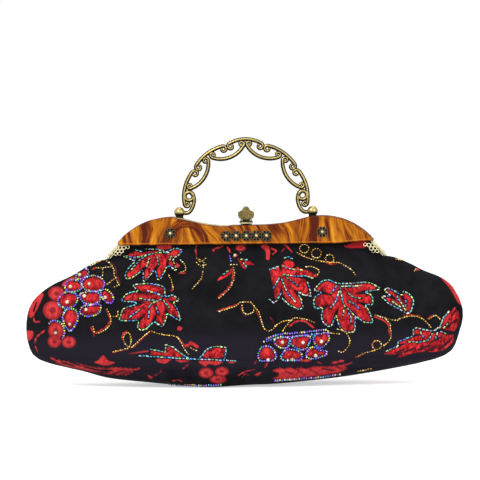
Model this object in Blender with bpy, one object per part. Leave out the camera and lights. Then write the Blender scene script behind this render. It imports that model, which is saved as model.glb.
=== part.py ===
"""Evening bag: a gathered cloth bag on a hinged metal frame with moulded resin plates,
a cast scroll handle that swings between two ball posts, and a tilting clasp tab.

Metres, +Z up, front towards -Y. The origin is under the middle of the bag, on the surface it stands on.
"""

import math

import bmesh
import bpy
import numpy as np
from mathutils import Matrix, Vector

# Running and seating clearances
FIT_GAP = 0.0003
HALF_GAP = 0.0003
PIN_CLEARANCE = 0.0003
CUT_OVERRUN = 0.001
MERGE_DISTANCE = 0.000001
SHARP_ANGLE = math.radians(35)

# Resin plates. The top edge is given as shares of the half width and of the height
PLATE_HALF_WIDTH = 0.1105
PLATE_HEIGHT = 0.02315
PLATE_BOTTOM = 0.1228
PLATE_THICKNESS = 0.0042
PLATE_EDGE_ROUND = 0.0012
PLATE_TOP_SHARES = (
    (0.0, 0.67), (0.21, 0.695), (0.32, 0.761), (0.42, 0.873), (0.51, 0.969), (0.595, 1.0),
    (0.69, 0.952), (0.79, 0.816), (0.89, 0.553), (0.957, 0.304), (1.0, 0.082),
)
PLATE_STEPS = 14

# Metal channel that follows the plate and goes on as an arm to each side hinge
RIM_STANDOFF = 0.0005
CHANNEL_WIDTH = 0.0046
CHANNEL_WALL = 0.0008
CHANNEL_REACH = 0.0065
ARM_END_REACH = 0.0010
ARM_TAPER_SHARE = 0.6
ARM_STEPS = 4
ARM_OVERRUN = 0.0005
BACKING_THICKNESS = 0.0005
BACKING_INSET = 0.0012

# Side hinges: two lugs on one rivet at each end of the frame, under the plates and outside their ends
HINGE_DROP = 0.0110
ARM_SPREAD = 0.0099
HINGE_HEIGHT = PLATE_BOTTOM - HINGE_DROP
HINGE_REACH = PLATE_HALF_WIDTH + ARM_SPREAD
ARM_END_RISE = 0.0023
LUG_THICKNESS = 0.0010
LUG_RADIUS = 0.0024
LUG_ROUND = math.radians(225)
LUG_STEPS = 11
LUG_TOP_INSET = 0.0002
RIVET_RADIUS = 0.0009
RIVET_HEAD_RADIUS = 0.0018
RIVET_HEAD_HEIGHT = 0.0007
RIVET_SIDES = 10

# Pierced flanges beside the arms
FLANGE_THICKNESS = 0.0006
FLANGE_TOP_WIDTH = 0.0113
FLANGE_BOTTOM_WIDTH = 0.0094
FLANGE_DROP = 0.0100
FLANGE_LEAN = 0.0043
FLANGE_ARM_INSET = 0.0016
FLANGE_SCALLOP = 0.0006
FLANGE_SCALLOPS = 4
FLANGE_HOLE_RADIUS = 0.0008
FLANGE_HOLE_PITCH = 0.0029
FLANGE_HOLE_ROWS = 3

# Flower caps and their rivet studs
CAP_RADIUS = 0.0046
CAP_PETALS = 8
CAP_RIM_HEIGHT = 0.0005
CAP_HEIGHT = 0.0013
CAP_NOTCH_SHARE = 0.86
CAP_RIDGE_SHARE = 0.62
CAP_ROW_PITCH = 0.00875
CAP_ROW_COUNT = 5
CAP_ROW_DROP = 0.0086
CAP_SIDE_REACH = 0.0658
CAP_SIDE_DROP = 0.0135
STUD_HEAD_RADIUS = 0.00155
STUD_HEAD_HEIGHT = 0.0009
STUD_SHANK_RADIUS = 0.0009
STUD_TAIL = 0.0004
STUD_TAIL_RADIUS = 0.0014
STUD_SIDES = 8

# Ball posts on the rear half
POST_REACH = 0.0579
BALL_RADIUS = 0.0040
BALL_SIDES = 12
BALL_STEPS = 7
NECK_RADIUS = 0.0020
NECK_HEIGHT = 0.00035
SHANK_RADIUS = 0.0010
SHANK_TAIL = 0.0004
BORE_PAST_CENTRE = 0.0010

# Scroll handle. Places are shares of the post reach and of the handle's rise over its pivot
HANDLE_RISE = 0.0630
STROKE_RADIUS = 0.0012
STROKE_SIDES = 6
ARC_STEP = 0.0044
CURL_STEP = math.radians(45)
CURL_RADIUS = 0.00245
CURL_END_SHARE = 0.62
CURL_TURN = math.radians(265)
CURL_TIP_SHARE = 0.9
PIN_PAST_CENTRE = 0.0004
PIN_STRAIGHT = 0.0068
LOWER_BEND_RADIUS = 0.0050
LOWER_BEND_TURN = math.radians(80)
RING_RADIUS = 0.0037
RING_ENTRY_ANGLE = math.radians(18)
RING_STEPS = 12
RING_PLACE_SHARES = (-0.853, 0.222)
TOP_LOBE_SHARES = ((0.276, 0.922), (-0.276, 0.922))
TOP_LOBE_BULGE_SHARE = 0.159
# Each side lobe: start, end, bulge as a share of its span (positive swells outwards), size of its curls
SIDE_LOBE_SHARES = (
    ((-0.309, 0.898), (-0.753, 0.614), 0.145, (1.06, 1.04)),
    ((-0.778, 0.558), (-0.888, 0.056), 0.205, (0.98, 0.92)),
    ((-0.020, 0.918), (-0.548, 0.768), -0.158, (0.92, 0.98)),
    ((-0.543, 0.698), (-0.836, 0.312), -0.141, (1.02, 0.96)),
)

# Clasp at the middle of the frame: bracket, pin and tilting tab in front, catch block behind
CLASP_HALF_WIDTH = 0.0049
CLASP_BASE_THICKNESS = 0.0007
CLASP_PIN_RISE = 0.0028
CLASP_PIN_RADIUS = 0.0007
CLASP_PIN_HEAD_RADIUS = 0.0012
CLASP_PIN_HEAD = 0.0005
EAR_THICKNESS = 0.0010
EAR_RADIUS = 0.0021
EAR_STEPS = 8
BARREL_RADIUS = 0.0015
BARREL_SIDES = 14
TAB_THICKNESS = 0.0012
TAB_HEIGHT = 0.0136
TAB_NECK_HALF_WIDTH = 0.0031
TAB_ROOT_HALF_WIDTH = 0.0048
TAB_LOBE_RADIUS = 0.0025
TAB_LOBE_REACH = 0.00455
TAB_LOBE_HEIGHT = 0.0071
TAB_TOP_RADIUS = 0.0031
TAB_ROUND_STEPS = 6
NOSE_HALF_WIDTH = 0.0028
NOSE_RISE = 0.0002
NOSE_THICKNESS = 0.0010
NOSE_END = 0.0036
CATCH_HALF_WIDTH = 0.0034
CATCH_SETBACK = 0.0009

# Cord that packs the cloth into the channel
PIPING_RADIUS = 0.0008
PIPING_SIDES = 5
PIPING_END_SHARE = 0.9

# Cloth bag. Each row of the shape: share of the plate's bottom edge height, of the half width, of the
# half depth, and how square the outline is seen from above. The neck's widths are shares of the hinge reach
BAG_HALF_WIDTH = 0.1897
BAG_HALF_DEPTH = 0.0352
CLOTH_THICKNESS = 0.0010
LINING_THICKNESS = 0.0004
SIDE_SEAM_HALF = 0.0013
SEAM_HEIGHT = 0.0242
GATHER_HEIGHT = 0.1000
CLOTH_TOP_INSET = 0.0038
CLOTH_TOP_WIDTH_SHARE = 0.955
LINING_SHIFT = 0.0018
LINING_SIDE_INSET = 0.0019
LINING_SEAM_HALF = 0.0006
PANEL_COLUMNS = 16
GUSSET_COLUMNS = 12
LINING_COLUMNS = 8
COLUMN_CROWDING_SHARE = 0.75
LENS_POWER = 0.72
BAG_SHAPE_SHARES = (
    (0.0, 0.253, 0.60, 2.0), (0.021, 0.348, 0.70, 2.0), (0.050, 0.504, 0.79, 2.0),
    (0.085, 0.642, 0.86, 2.0), (0.131, 0.757, 0.93, 2.0), (0.166, 0.849, 0.96, 2.1),
    (0.187, 0.925, 0.975, 2.1), (0.199, 0.925, 0.977, 2.1), (0.230, 0.950, 0.985, 2.2),
    (0.322, 0.984, 1.0, 2.2), (0.418, 1.0, 0.98, 2.2), (0.517, 0.998, 0.92, 2.2),
    (0.606, 0.972, 0.83, 2.3), (0.684, 0.931, 0.71, 2.4), (0.740, 0.871, 0.60, 2.6),
    (0.793, 0.798, 0.47, 3.0), (0.839, 0.750, 0.355, 3.6),
)
NECK_SHAPE_SHARES = (
    (0.871, 1.1266, 0.27, 4.4), (0.887, 1.0462, 0.205, 6.0), (0.892, 0.965, 0.17, 8.0),
    (0.912, 0.9627, 0.095, 10.0), (1.0, 0.8713, 0.06, 12.0),
)

# Colours: base colour, roughness, metallic
LOOKS = {
    "resin": ((0.62, 0.24, 0.05, 1), 0.25, 0.0),
    "antique_brass": ((0.42, 0.34, 0.16, 1), 0.38, 1.0),
    "pale_gilt": ((0.78, 0.70, 0.45, 1), 0.35, 1.0),
    "dark_flower": ((0.16, 0.14, 0.08, 1), 0.45, 1.0),
    "bright_brass": ((0.80, 0.62, 0.28, 1), 0.25, 1.0),
    "printed_cloth": ((0.03, 0.03, 0.035, 1), 0.85, 0.0),
    "lining_cloth": ((0.02, 0.02, 0.025, 1), 0.6, 0.0),
    "piping_cord": ((0.55, 0.50, 0.42, 1), 0.9, 0.0),
}


def smooth_value(shares, at):
    """A cubic curve through hand-chosen points."""
    xs, ys = np.array(shares).T
    slopes = np.gradient(ys, xs)
    slopes[0] = 0
    i = int(np.clip(np.searchsorted(xs, at) - 1, 0, len(xs) - 2))
    span = xs[i + 1] - xs[i]
    t = (at - xs[i]) / span
    start = (1 + 2 * t) * (1 - t) ** 2 * ys[i] + t * (1 - t) ** 2 * span * slopes[i]
    end = t**2 * (3 - 2 * t) * ys[i + 1] + t**2 * (t - 1) * span * slopes[i + 1]
    return float(start + end)


def plate_top(x):
    """Height of the plate's top edge."""
    return PLATE_BOTTOM + PLATE_HEIGHT * smooth_value(PLATE_TOP_SHARES, min(abs(x) / PLATE_HALF_WIDTH, 1))


def rim_top(x):
    """Height of the channel's outer edge over the plate."""
    return plate_top(x) + RIM_STANDOFF


def arm_height(x):
    """Height of an arm's outer edge, a straight line from the plate's corner past the hinge."""
    start = (PLATE_HALF_WIDTH, rim_top(PLATE_HALF_WIDTH))
    end = (HINGE_REACH + ARM_OVERRUN, HINGE_HEIGHT + ARM_END_RISE)
    return start[1] + (end[1] - start[1]) * (x - start[0]) / (end[0] - start[0])


def arm_reach(z):
    """The inverse of arm_height."""
    fall = arm_height(PLATE_HALF_WIDTH) - arm_height(HINGE_REACH)
    return PLATE_HALF_WIDTH + (arm_height(PLATE_HALF_WIDTH) - z) * (HINGE_REACH - PLATE_HALF_WIDTH) / fall


# Places worked out from the sizes above
CHANNEL_MIDDLE = HALF_GAP + CHANNEL_WIDTH / 2
CHANNEL_FACE = HALF_GAP + CHANNEL_WIDTH
GROOVE_FACE = CHANNEL_FACE - CHANNEL_WALL
PLATE_BACK = CHANNEL_FACE + FIT_GAP
PLATE_FACE = PLATE_BACK + PLATE_THICKNESS
LUG_OUTER = (HINGE_REACH - LUG_THICKNESS, HINGE_REACH)
LUG_INNER = (LUG_OUTER[0] - FIT_GAP - LUG_THICKNESS, LUG_OUTER[0] - FIT_GAP)
POST_SEAT = rim_top(POST_REACH)
PIVOT_HEIGHT = POST_SEAT + FIT_GAP + NECK_HEIGHT + BALL_RADIUS
CLASP_SEAT = rim_top(0) + FIT_GAP
CLASP_PIN_HEIGHT = CLASP_SEAT + CLASP_PIN_RISE
BAG_ROWS = [
    (height * PLATE_BOTTOM, width * reach, depth * BAG_HALF_DEPTH, squareness)
    for rows, reach in ((BAG_SHAPE_SHARES, BAG_HALF_WIDTH), (NECK_SHAPE_SHARES, HINGE_REACH))
    for height, width, depth, squareness in rows
]


def make_material(name):
    colour, roughness, metallic = LOOKS[name]
    material = bpy.data.materials.new(name)
    material.use_nodes = True
    shader = material.node_tree.nodes["Principled BSDF"]
    shader.inputs["Base Color"].default_value = colour
    shader.inputs["Roughness"].default_value = roughness
    shader.inputs["Metallic"].default_value = metallic
    return material


def shade(mesh):
    mesh.shade_smooth()
    mesh.set_sharp_from_angle(angle=SHARP_ANGLE)


def add_object(name, bm, look, pivot=None, closed=True):
    """Turns bm into an object. pivot is the empty on its joint's axis."""
    if closed:
        bmesh.ops.remove_doubles(bm, verts=bm.verts, dist=MERGE_DISTANCE)
        bmesh.ops.recalc_face_normals(bm, faces=bm.faces)
    mesh = bpy.data.meshes.new(name)
    bm.to_mesh(mesh)
    bm.free()
    obj = bpy.data.objects.new(name, mesh)
    bpy.context.scene.collection.objects.link(obj)
    mesh.materials.append(bpy.data.materials.get(look) or make_material(look))
    if pivot:
        mesh.transform(Matrix.Translation(-pivot.matrix_world.translation))
        obj.parent = pivot
    shade(mesh)
    return obj


def add_tool(bm):
    """A shape for a Boolean, which removes it after use."""
    tool = add_object("tool", bm, "antique_brass")
    tool.hide_render = True
    tool.display_type = "WIRE"
    return tool


def add_pivot(name, place, parent=None):
    """An empty on a joint's axis."""
    empty = bpy.data.objects.new(name, None)
    bpy.context.scene.collection.objects.link(empty)
    if parent:
        empty.parent = parent
        empty.location = Vector(place) - parent.matrix_world.translation
    else:
        empty.location = place
    bpy.context.view_layer.update()
    return empty


def evaluated_mesh(obj):
    bpy.context.view_layer.update()
    return bpy.data.meshes.new_from_object(obj.evaluated_get(bpy.context.evaluated_depsgraph_get()))


def is_closed(mesh):
    bm = bmesh.new()
    bm.from_mesh(mesh)
    bmesh.ops.remove_doubles(bm, verts=bm.verts, dist=MERGE_DISTANCE)
    closed = all(edge.is_manifold for edge in bm.edges)
    bm.free()
    return closed


def combine(obj, tools, operation):
    """Applies one Boolean after another to obj and removes the tools. Where the exact solver leaves
    a face open, the other one is used."""
    for tool in tools:
        modifier = obj.modifiers.new(operation.lower(), "BOOLEAN")
        modifier.operation = operation
        modifier.object = tool
        result = evaluated_mesh(obj)
        if not is_closed(result):
            bpy.data.meshes.remove(result)
            modifier.solver = "MANIFOLD"
            result = evaluated_mesh(obj)
        obj.modifiers.remove(modifier)
        obj.data, old = result, obj.data
        name = old.name
        bpy.data.meshes.remove(old)
        result.name = name
        bpy.data.objects.remove(tool)
    shade(obj.data)
    return obj


def prism(outline, place, vector):
    """An outline, each of whose points place turns into a 3-D point, extruded along vector."""
    bm = bmesh.new()
    near = bm.faces.new([bm.verts.new(place(*point)) for point in outline])
    made = bmesh.ops.extrude_face_region(bm, geom=[near])["geom"]
    bmesh.ops.translate(bm, vec=vector, verts=[v for v in made if isinstance(v, bmesh.types.BMVert)])
    return bm


def front_prism(outline, y_start, y_end):
    """Extrudes an x-z outline from y_start to y_end."""
    return prism(outline, lambda x, z: (x, y_start, z), (0, y_end - y_start, 0))


def side_prism(outline, x_start, x_end):
    """Extrudes a y-z outline from x_start to x_end."""
    return prism(outline, lambda y, z: (x_start, y, z), (x_end - x_start, 0, 0))


def block(low, high):
    """A plain block between two corners."""
    outline = ((low[0], low[2]), (high[0], low[2]), (high[0], high[2]), (low[0], high[2]))
    return front_prism(outline, low[1], high[1])


def turned(profile, sides, origin, direction):
    """Revolves (radius, distance) points round direction. The profile starts and ends on the axis."""
    bm = bmesh.new()
    points = [bm.verts.new((radius, 0, along)) for radius, along in profile]
    edges = [bm.edges.new(pair) for pair in zip(points, points[1:])]
    bmesh.ops.spin(bm, geom=points + edges, cent=(0, 0, 0), axis=(0, 0, 1), angle=math.tau, steps=sides,
                   use_merge=True)
    turn = Vector((0, 0, 1)).rotation_difference(Vector(direction)).to_matrix().to_4x4()
    bmesh.ops.transform(bm, matrix=Matrix.Translation(origin) @ turn, verts=bm.verts)
    return bm


def rod(origin, direction, radius, length, sides):
    """A round bar from origin along direction."""
    return turned(((0, 0), (radius, 0), (radius, length), (0, length)), sides, origin, direction)


def right_normals(points):
    """Unit normals in the x-z plane, to the right of the way along the points."""
    along = np.gradient(np.array(points), axis=0)
    along /= np.linalg.norm(along, axis=1)[:, None]
    return np.stack([along[:, 1], -along[:, 0]], axis=1)


def skin(bm, rings, caps=True, loop=False):
    """Faces between rings of vertices, with caps on the first and the last, or closed in a loop."""
    pairs = list(zip(rings, rings[1:])) + ([(rings[-1], rings[0])] if loop else [])
    for ring, following in pairs:
        for i in range(len(ring)):
            j = (i + 1) % len(ring)
            bm.faces.new((ring[i], ring[j], following[j], following[i]))
    if caps and not loop:
        bm.faces.new(rings[0])
        bm.faces.new(reversed(rings[-1]))


def tube(points, radii, sides, y, loop=False):
    """A round bar along points of a plane y = const. A corner points to the front and to the back."""
    bm = bmesh.new()
    if loop:
        turned_points = [points[-1], *points, points[0]]
        normals = right_normals(turned_points)[1:-1]
    else:
        normals = right_normals(points)
    rings = []
    for (x, z), normal, radius in zip(points, normals, radii):
        ring = []
        for k in range(sides):
            angle = math.pi / 2 + k * math.tau / sides
            across = radius * math.cos(angle)
            ring.append(bm.verts.new((x + normal[0] * across, y + radius * math.sin(angle),
                                      z + normal[1] * across)))
        rings.append(ring)
    skin(bm, rings, loop=loop)
    return bm


def rim_path(end_x):
    """The channel's outer edge from arm to arm, with the reach of its walls at each point."""
    half = [(x, rim_top(x), CHANNEL_REACH) for x in np.linspace(0, PLATE_HALF_WIDTH, PLATE_STEPS + 1)]
    for x in np.linspace(PLATE_HALF_WIDTH, end_x, ARM_STEPS + 1)[1:]:
        along = (x - PLATE_HALF_WIDTH) / (HINGE_REACH - PLATE_HALF_WIDTH)
        taper = min(along / ARM_TAPER_SHARE, 1)
        half.append((x, arm_height(x), CHANNEL_REACH + (ARM_END_REACH - CHANNEL_REACH) * taper))
    return [(-x, z, reach) for x, z, reach in reversed(half[1:])] + half


def make_channel(side, end_x):
    """A U-shaped channel, open inwards. side is -1 for the front half and 1 for the rear half."""
    path = rim_path(end_x)
    bm = bmesh.new()
    rings = []
    for (x, z, reach), normal in zip(path, right_normals([point[:2] for point in path])):
        section = (
            (0, HALF_GAP), (0, CHANNEL_FACE), (reach, CHANNEL_FACE), (reach, GROOVE_FACE),
            (CHANNEL_WALL, GROOVE_FACE), (CHANNEL_WALL, HALF_GAP + CHANNEL_WALL),
            (reach, HALF_GAP + CHANNEL_WALL), (reach, HALF_GAP),
        )
        rings.append([bm.verts.new((x + normal[0] * n, side * y, z + normal[1] * n)) for n, y in section])
    skin(bm, rings)
    return bm


def plate_outline(inset=0.0):
    """The plate's outline, from its lower left corner over the top, moved inwards by inset."""
    reach = PLATE_HALF_WIDTH - inset
    top = [(x, plate_top(x) - inset) for x in np.linspace(-reach, reach, 2 * PLATE_STEPS + 1)]
    return [(-reach, PLATE_BOTTOM + inset), *top, (reach, PLATE_BOTTOM + inset)]


def stud_places(side):
    """Where flower caps sit: one over each end fixing and, in front, a row under the clasp."""
    side_height = rim_top(CAP_SIDE_REACH) - CAP_SIDE_DROP
    places = [("left", -CAP_SIDE_REACH, side_height), ("right", CAP_SIDE_REACH, side_height)]
    if side < 0:
        first = -CAP_ROW_PITCH * (CAP_ROW_COUNT - 1) / 2
        for i in range(CAP_ROW_COUNT):
            places.append((f"row_{i + 1}", first + i * CAP_ROW_PITCH, rim_top(0) - CAP_ROW_DROP))
    return places


def stud_cutters(side):
    """Holes for the stud shanks, from the channel's groove through to the plate's face."""
    start = CHANNEL_MIDDLE - CUT_OVERRUN
    length = PLATE_FACE + CUT_OVERRUN - start
    radius = STUD_SHANK_RADIUS + PIN_CLEARANCE
    return [add_tool(rod((x, side * start, z), (0, side, 0), radius, length, STUD_SIDES))
            for _, x, z in stud_places(side)]


def lug_outline(side, top):
    """A hinge lug from the side: a round eye on the hinge axis, and a tongue up to the arm."""
    inner = HALF_GAP + CHANNEL_WALL / 2
    outer = CHANNEL_FACE - CHANNEL_WALL / 2
    start = math.acos(inner / LUG_RADIUS)
    eye = [(-side * LUG_RADIUS * math.cos(math.pi - angle), HINGE_HEIGHT + LUG_RADIUS * math.sin(angle))
           for angle in np.linspace(start, start + LUG_ROUND, LUG_STEPS)]
    return [(side * inner, top), *eye, (side * outer, HINGE_HEIGHT + LUG_RADIUS / 2), (side * outer, top)]


def make_frame(side, name):
    """One half of the frame: channel, backing sheet, and a lug at each end."""
    lug_range = LUG_INNER if side < 0 else LUG_OUTER
    end_x = LUG_INNER[1] if side < 0 else HINGE_REACH + ARM_OVERRUN
    frame = add_object(name, make_channel(side, end_x), "pale_gilt")
    middle = CHANNEL_FACE - CHANNEL_WALL / 2
    faces = sorted((side * (middle - BACKING_THICKNESS / 2), side * (middle + BACKING_THICKNESS / 2)))
    added = [add_tool(front_prism(plate_outline(BACKING_INSET), *faces))]
    outline = lug_outline(side, arm_height(lug_range[1]) - LUG_TOP_INSET)
    for mirror in (-1, 1):
        added.append(add_tool(side_prism(outline, mirror * lug_range[0], mirror * lug_range[1])))
    combine(frame, added, "UNION")
    cutters = stud_cutters(side)
    for mirror in (-1, 1):
        start = (mirror * (LUG_INNER[0] - CUT_OVERRUN), 0, HINGE_HEIGHT)
        length = LUG_OUTER[1] - LUG_INNER[0] + 2 * CUT_OVERRUN
        cutters.append(add_tool(rod(start, (mirror, 0, 0), RIVET_RADIUS + PIN_CLEARANCE, length,
                                    RIVET_SIDES)))
        if side > 0:
            seat = (mirror * POST_REACH, CHANNEL_MIDDLE, POST_SEAT - CHANNEL_WALL - CUT_OVERRUN)
            cutters.append(add_tool(rod(seat, (0, 0, 1), SHANK_RADIUS + PIN_CLEARANCE,
                                        CHANNEL_WALL + 2 * CUT_OVERRUN, STUD_SIDES)))
    combine(frame, cutters, "DIFFERENCE")
    return frame


def set_pivot(obj, pivot):
    """Hangs a finished object under the empty on its joint's axis."""
    obj.data.transform(Matrix.Translation(-pivot.matrix_world.translation))
    obj.parent = pivot
    return obj


def make_plate(side, name):
    """A moulded resin plate with rounded front edges and a hole for each stud."""
    bm = front_prism(plate_outline(), side * PLATE_BACK, side * PLATE_FACE)
    face_edges = [e for e in bm.edges if all(abs(v.co.y - side * PLATE_FACE) < MERGE_DISTANCE for v in e.verts)]
    bmesh.ops.recalc_face_normals(bm, faces=bm.faces)
    bmesh.ops.bevel(bm, geom=face_edges, offset=PLATE_EDGE_ROUND, segments=2, profile=0.5,
                    affect="EDGES", clamp_overlap=True)
    return combine(add_object(name, bm, "resin"), stud_cutters(side), "DIFFERENCE")


def make_flange(side, mirror, name):
    """A thin pierced flange that fills the angle between the plate's end and the arm."""
    top = PLATE_BOTTOM - FIT_GAP
    bottom = top - FLANGE_DROP
    outer_top = arm_reach(top) - FLANGE_ARM_INSET
    outer_bottom = outer_top + FLANGE_LEAN
    inner_top = outer_top - FLANGE_TOP_WIDTH
    inner_bottom = outer_bottom - FLANGE_BOTTOM_WIDTH

    def scallops(start, end, count):
        along = Vector(end) - Vector(start)
        out = Vector((along.y, -along.x)).normalized()
        return [Vector(start) + along * (i / (2 * count)) + out * FLANGE_SCALLOP * (i % 2)
                for i in range(2 * count)]

    outline = [Vector((outer_top, top)), Vector((inner_top, top))]
    outline += scallops((inner_top, top), (inner_bottom, bottom), FLANGE_SCALLOPS)[1:]
    outline += scallops((inner_bottom, bottom), (outer_bottom, bottom), FLANGE_SCALLOPS)
    outline += [Vector((outer_bottom, bottom))]
    back, face = side * PLATE_BACK, side * (PLATE_BACK + FLANGE_THICKNESS)
    flange = add_object(name, front_prism([(mirror * p.x, p.y) for p in outline], back, face), "pale_gilt")
    cutters = []
    middle = Vector(((outer_top + inner_top + outer_bottom + inner_bottom) / 4, (top + bottom) / 2))
    lean = Vector((FLANGE_LEAN, -FLANGE_DROP)).normalized()
    for row in range(FLANGE_HOLE_ROWS):
        for column in range(FLANGE_HOLE_ROWS):
            shift = Vector((column - (FLANGE_HOLE_ROWS - 1) / 2, 0)) + lean * (row - (FLANGE_HOLE_ROWS - 1) / 2)
            place = middle + shift * FLANGE_HOLE_PITCH
            start = (mirror * place.x, back - side * CUT_OVERRUN, place.y)
            cutters.append(add_tool(rod(start, (0, side, 0), FLANGE_HOLE_RADIUS,
                                        FLANGE_THICKNESS + 2 * CUT_OVERRUN, 6)))
    return combine(flange, cutters, "DIFFERENCE")


def make_cap(side, name, x, z):
    """An eight-petalled flower cap with a hole for its stud."""
    bm = bmesh.new()
    base = PLATE_FACE + FIT_GAP
    hole = STUD_SHANK_RADIUS + PIN_CLEARANCE
    rings = []
    for share, height in ((1, 0), (1, CAP_RIM_HEIGHT), (CAP_RIDGE_SHARE, CAP_HEIGHT), (0, CAP_RIM_HEIGHT)):
        ring = []
        for k in range(2 * CAP_PETALS):
            petal = 1 if k % 2 == 0 else CAP_NOTCH_SHARE
            radius = CAP_RADIUS * share * petal if share else hole
            angle = (k + 1) * math.pi / CAP_PETALS
            ring.append(bm.verts.new((x + radius * math.cos(angle), side * (base + height),
                                      z + radius * math.sin(angle))))
        rings.append(ring)
    inner = []
    for k in range(2 * CAP_PETALS):
        angle = (k + 1) * math.pi / CAP_PETALS
        inner.append(bm.verts.new((x + hole * math.cos(angle), side * base, z + hole * math.sin(angle))))
    skin(bm, [*rings, inner], loop=True)
    return add_object(name, bm, "dark_flower")


def make_stud(side, name, x, z):
    """A rivet stud: peened tail behind the backing sheet, shank, and a domed head on the flower."""
    tail = GROOVE_FACE - STUD_TAIL
    backing_back = CHANNEL_FACE - CHANNEL_WALL / 2 - BACKING_THICKNESS / 2
    seat = PLATE_FACE + FIT_GAP + CAP_HEIGHT + FIT_GAP
    profile = (
        (0, tail), (STUD_TAIL_RADIUS, tail), (STUD_TAIL_RADIUS, backing_back - FIT_GAP),
        (STUD_SHANK_RADIUS, backing_back - FIT_GAP), (STUD_SHANK_RADIUS, seat), (STUD_HEAD_RADIUS, seat),
        (STUD_HEAD_RADIUS * math.cos(math.pi / 4), seat + STUD_HEAD_HEIGHT * math.sin(math.pi / 4)),
        (0, seat + STUD_HEAD_HEIGHT),
    )
    return add_object(name, turned(profile, STUD_SIDES, (x, 0, z), (0, side, 0)), "bright_brass")


def make_rivet(name, mirror):
    """A hinge rivet with a head on each side of the two lugs."""
    inner, outer = LUG_INNER[0] - FIT_GAP, LUG_OUTER[1] + FIT_GAP
    profile = (
        (0, inner - RIVET_HEAD_HEIGHT), (RIVET_HEAD_RADIUS, inner - RIVET_HEAD_HEIGHT / 2),
        (RIVET_HEAD_RADIUS, inner), (RIVET_RADIUS, inner), (RIVET_RADIUS, outer),
        (RIVET_HEAD_RADIUS, outer), (RIVET_HEAD_RADIUS, outer + RIVET_HEAD_HEIGHT / 2),
        (0, outer + RIVET_HEAD_HEIGHT),
    )
    return add_object(name, turned(profile, RIVET_SIDES, (0, 0, HINGE_HEIGHT), (mirror, 0, 0)), "bright_brass")


def make_post(name, mirror):
    """A ball post: riveted shank, short neck, and a ball with a bore for the handle's pin."""
    seat = POST_SEAT + FIT_GAP
    low = math.asin(NECK_RADIUS / BALL_RADIUS)
    ball = [(BALL_RADIUS * math.sin(a), PIVOT_HEIGHT - BALL_RADIUS * math.cos(a))
            for a in np.linspace(low, math.pi, BALL_STEPS + 1)[:-1]]
    shank_end = POST_SEAT - CHANNEL_WALL - SHANK_TAIL
    profile = [(0, shank_end), (SHANK_RADIUS, shank_end), (SHANK_RADIUS, seat), (NECK_RADIUS, seat),
               *ball, (0, PIVOT_HEIGHT + BALL_RADIUS)]
    post = add_object(name, turned(profile, BALL_SIDES, (mirror * POST_REACH, CHANNEL_MIDDLE, 0), (0, 0, 1)),
                      "antique_brass")
    start = (mirror * (POST_REACH + BORE_PAST_CENTRE), CHANNEL_MIDDLE, PIVOT_HEIGHT)
    bore = rod(start, (-mirror, 0, 0), STROKE_RADIUS + PIN_CLEARANCE,
               BORE_PAST_CENTRE + BALL_RADIUS + CUT_OVERRUN, 8)
    return combine(post, [add_tool(bore)], "DIFFERENCE")


def heading_vector(angle):
    return np.array((math.cos(angle), math.sin(angle)))


def left_of(angle):
    return np.array((-math.sin(angle), math.cos(angle)))


def curl(start, heading, sense, radius):
    """A tightening scroll that goes on from start without a kink, and the share of its way along."""
    points, shares = [], []
    place = np.array(start)
    steps = round(CURL_TURN / CURL_STEP)
    turn = CURL_TURN / steps
    for i in range(steps):
        share = (i + 0.5) / steps
        step_radius = radius * (1 + (CURL_END_SHARE - 1) * share)
        chord = 2 * step_radius * math.sin(turn / 2)
        place = place + chord * heading_vector(heading + sense * turn * (i + 0.5))
        points.append(tuple(place))
        shares.append((i + 1) / steps)
    return points, shares


def scroll(start, end, bulge_share, curl_shares):
    """One stroke of the casting: an arc from start to end with a scroll at both ends.

    Returns its points and radii. A positive bulge lies to the right of the way from start to end.
    """
    start, end = np.array(start), np.array(end)
    chord = end - start
    span = float(np.linalg.norm(chord))
    sagitta = abs(bulge_share) * span
    radius = (span**2 / 4 + sagitta**2) / (2 * sagitta)
    half_angle = math.asin(span / 2 / radius)
    sense = 1 if bulge_share > 0 else -1
    first = math.atan2(chord[1], chord[0]) - sense * half_angle
    centre = start + sense * radius * left_of(first)
    steps = max(3, round(2 * half_angle * radius / ARC_STEP))
    arc = [tuple(centre - sense * radius * left_of(first + sense * 2 * half_angle * i / steps))
           for i in range(steps + 1)]
    head, head_shares = curl(start, first + math.pi, -sense, CURL_RADIUS * curl_shares[0])
    tail, tail_shares = curl(end, first + sense * 2 * half_angle, sense, CURL_RADIUS * curl_shares[1])
    shares = [*reversed(head_shares), *[0] * len(arc), *tail_shares]
    radii = [STROKE_RADIUS * (1 + (CURL_TIP_SHARE - 1) * share) for share in shares]
    return [*reversed(head), *arc, *tail], radii


def handle_place(shares):
    return (shares[0] * POST_REACH, shares[1] * HANDLE_RISE)


def lower_stroke():
    """From the pin in the left ball, round a bend and up into the ring."""
    start = (-POST_REACH - PIN_PAST_CENTRE, 0.0)
    bend_start = np.array((start[0] + PIN_PAST_CENTRE + PIN_STRAIGHT, 0.0))
    centre = bend_start + LOWER_BEND_RADIUS * left_of(0)
    steps = round(LOWER_BEND_TURN / CURL_STEP * 2)
    bend = [tuple(centre - LOWER_BEND_RADIUS * left_of(LOWER_BEND_TURN * i / steps)) for i in range(steps + 1)]
    ring = np.array(handle_place(RING_PLACE_SHARES))
    entry = tuple(ring + RING_RADIUS * heading_vector(-RING_ENTRY_ANGLE))
    points = [start, *bend, entry]
    return points, [STROKE_RADIUS] * len(points)


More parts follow.
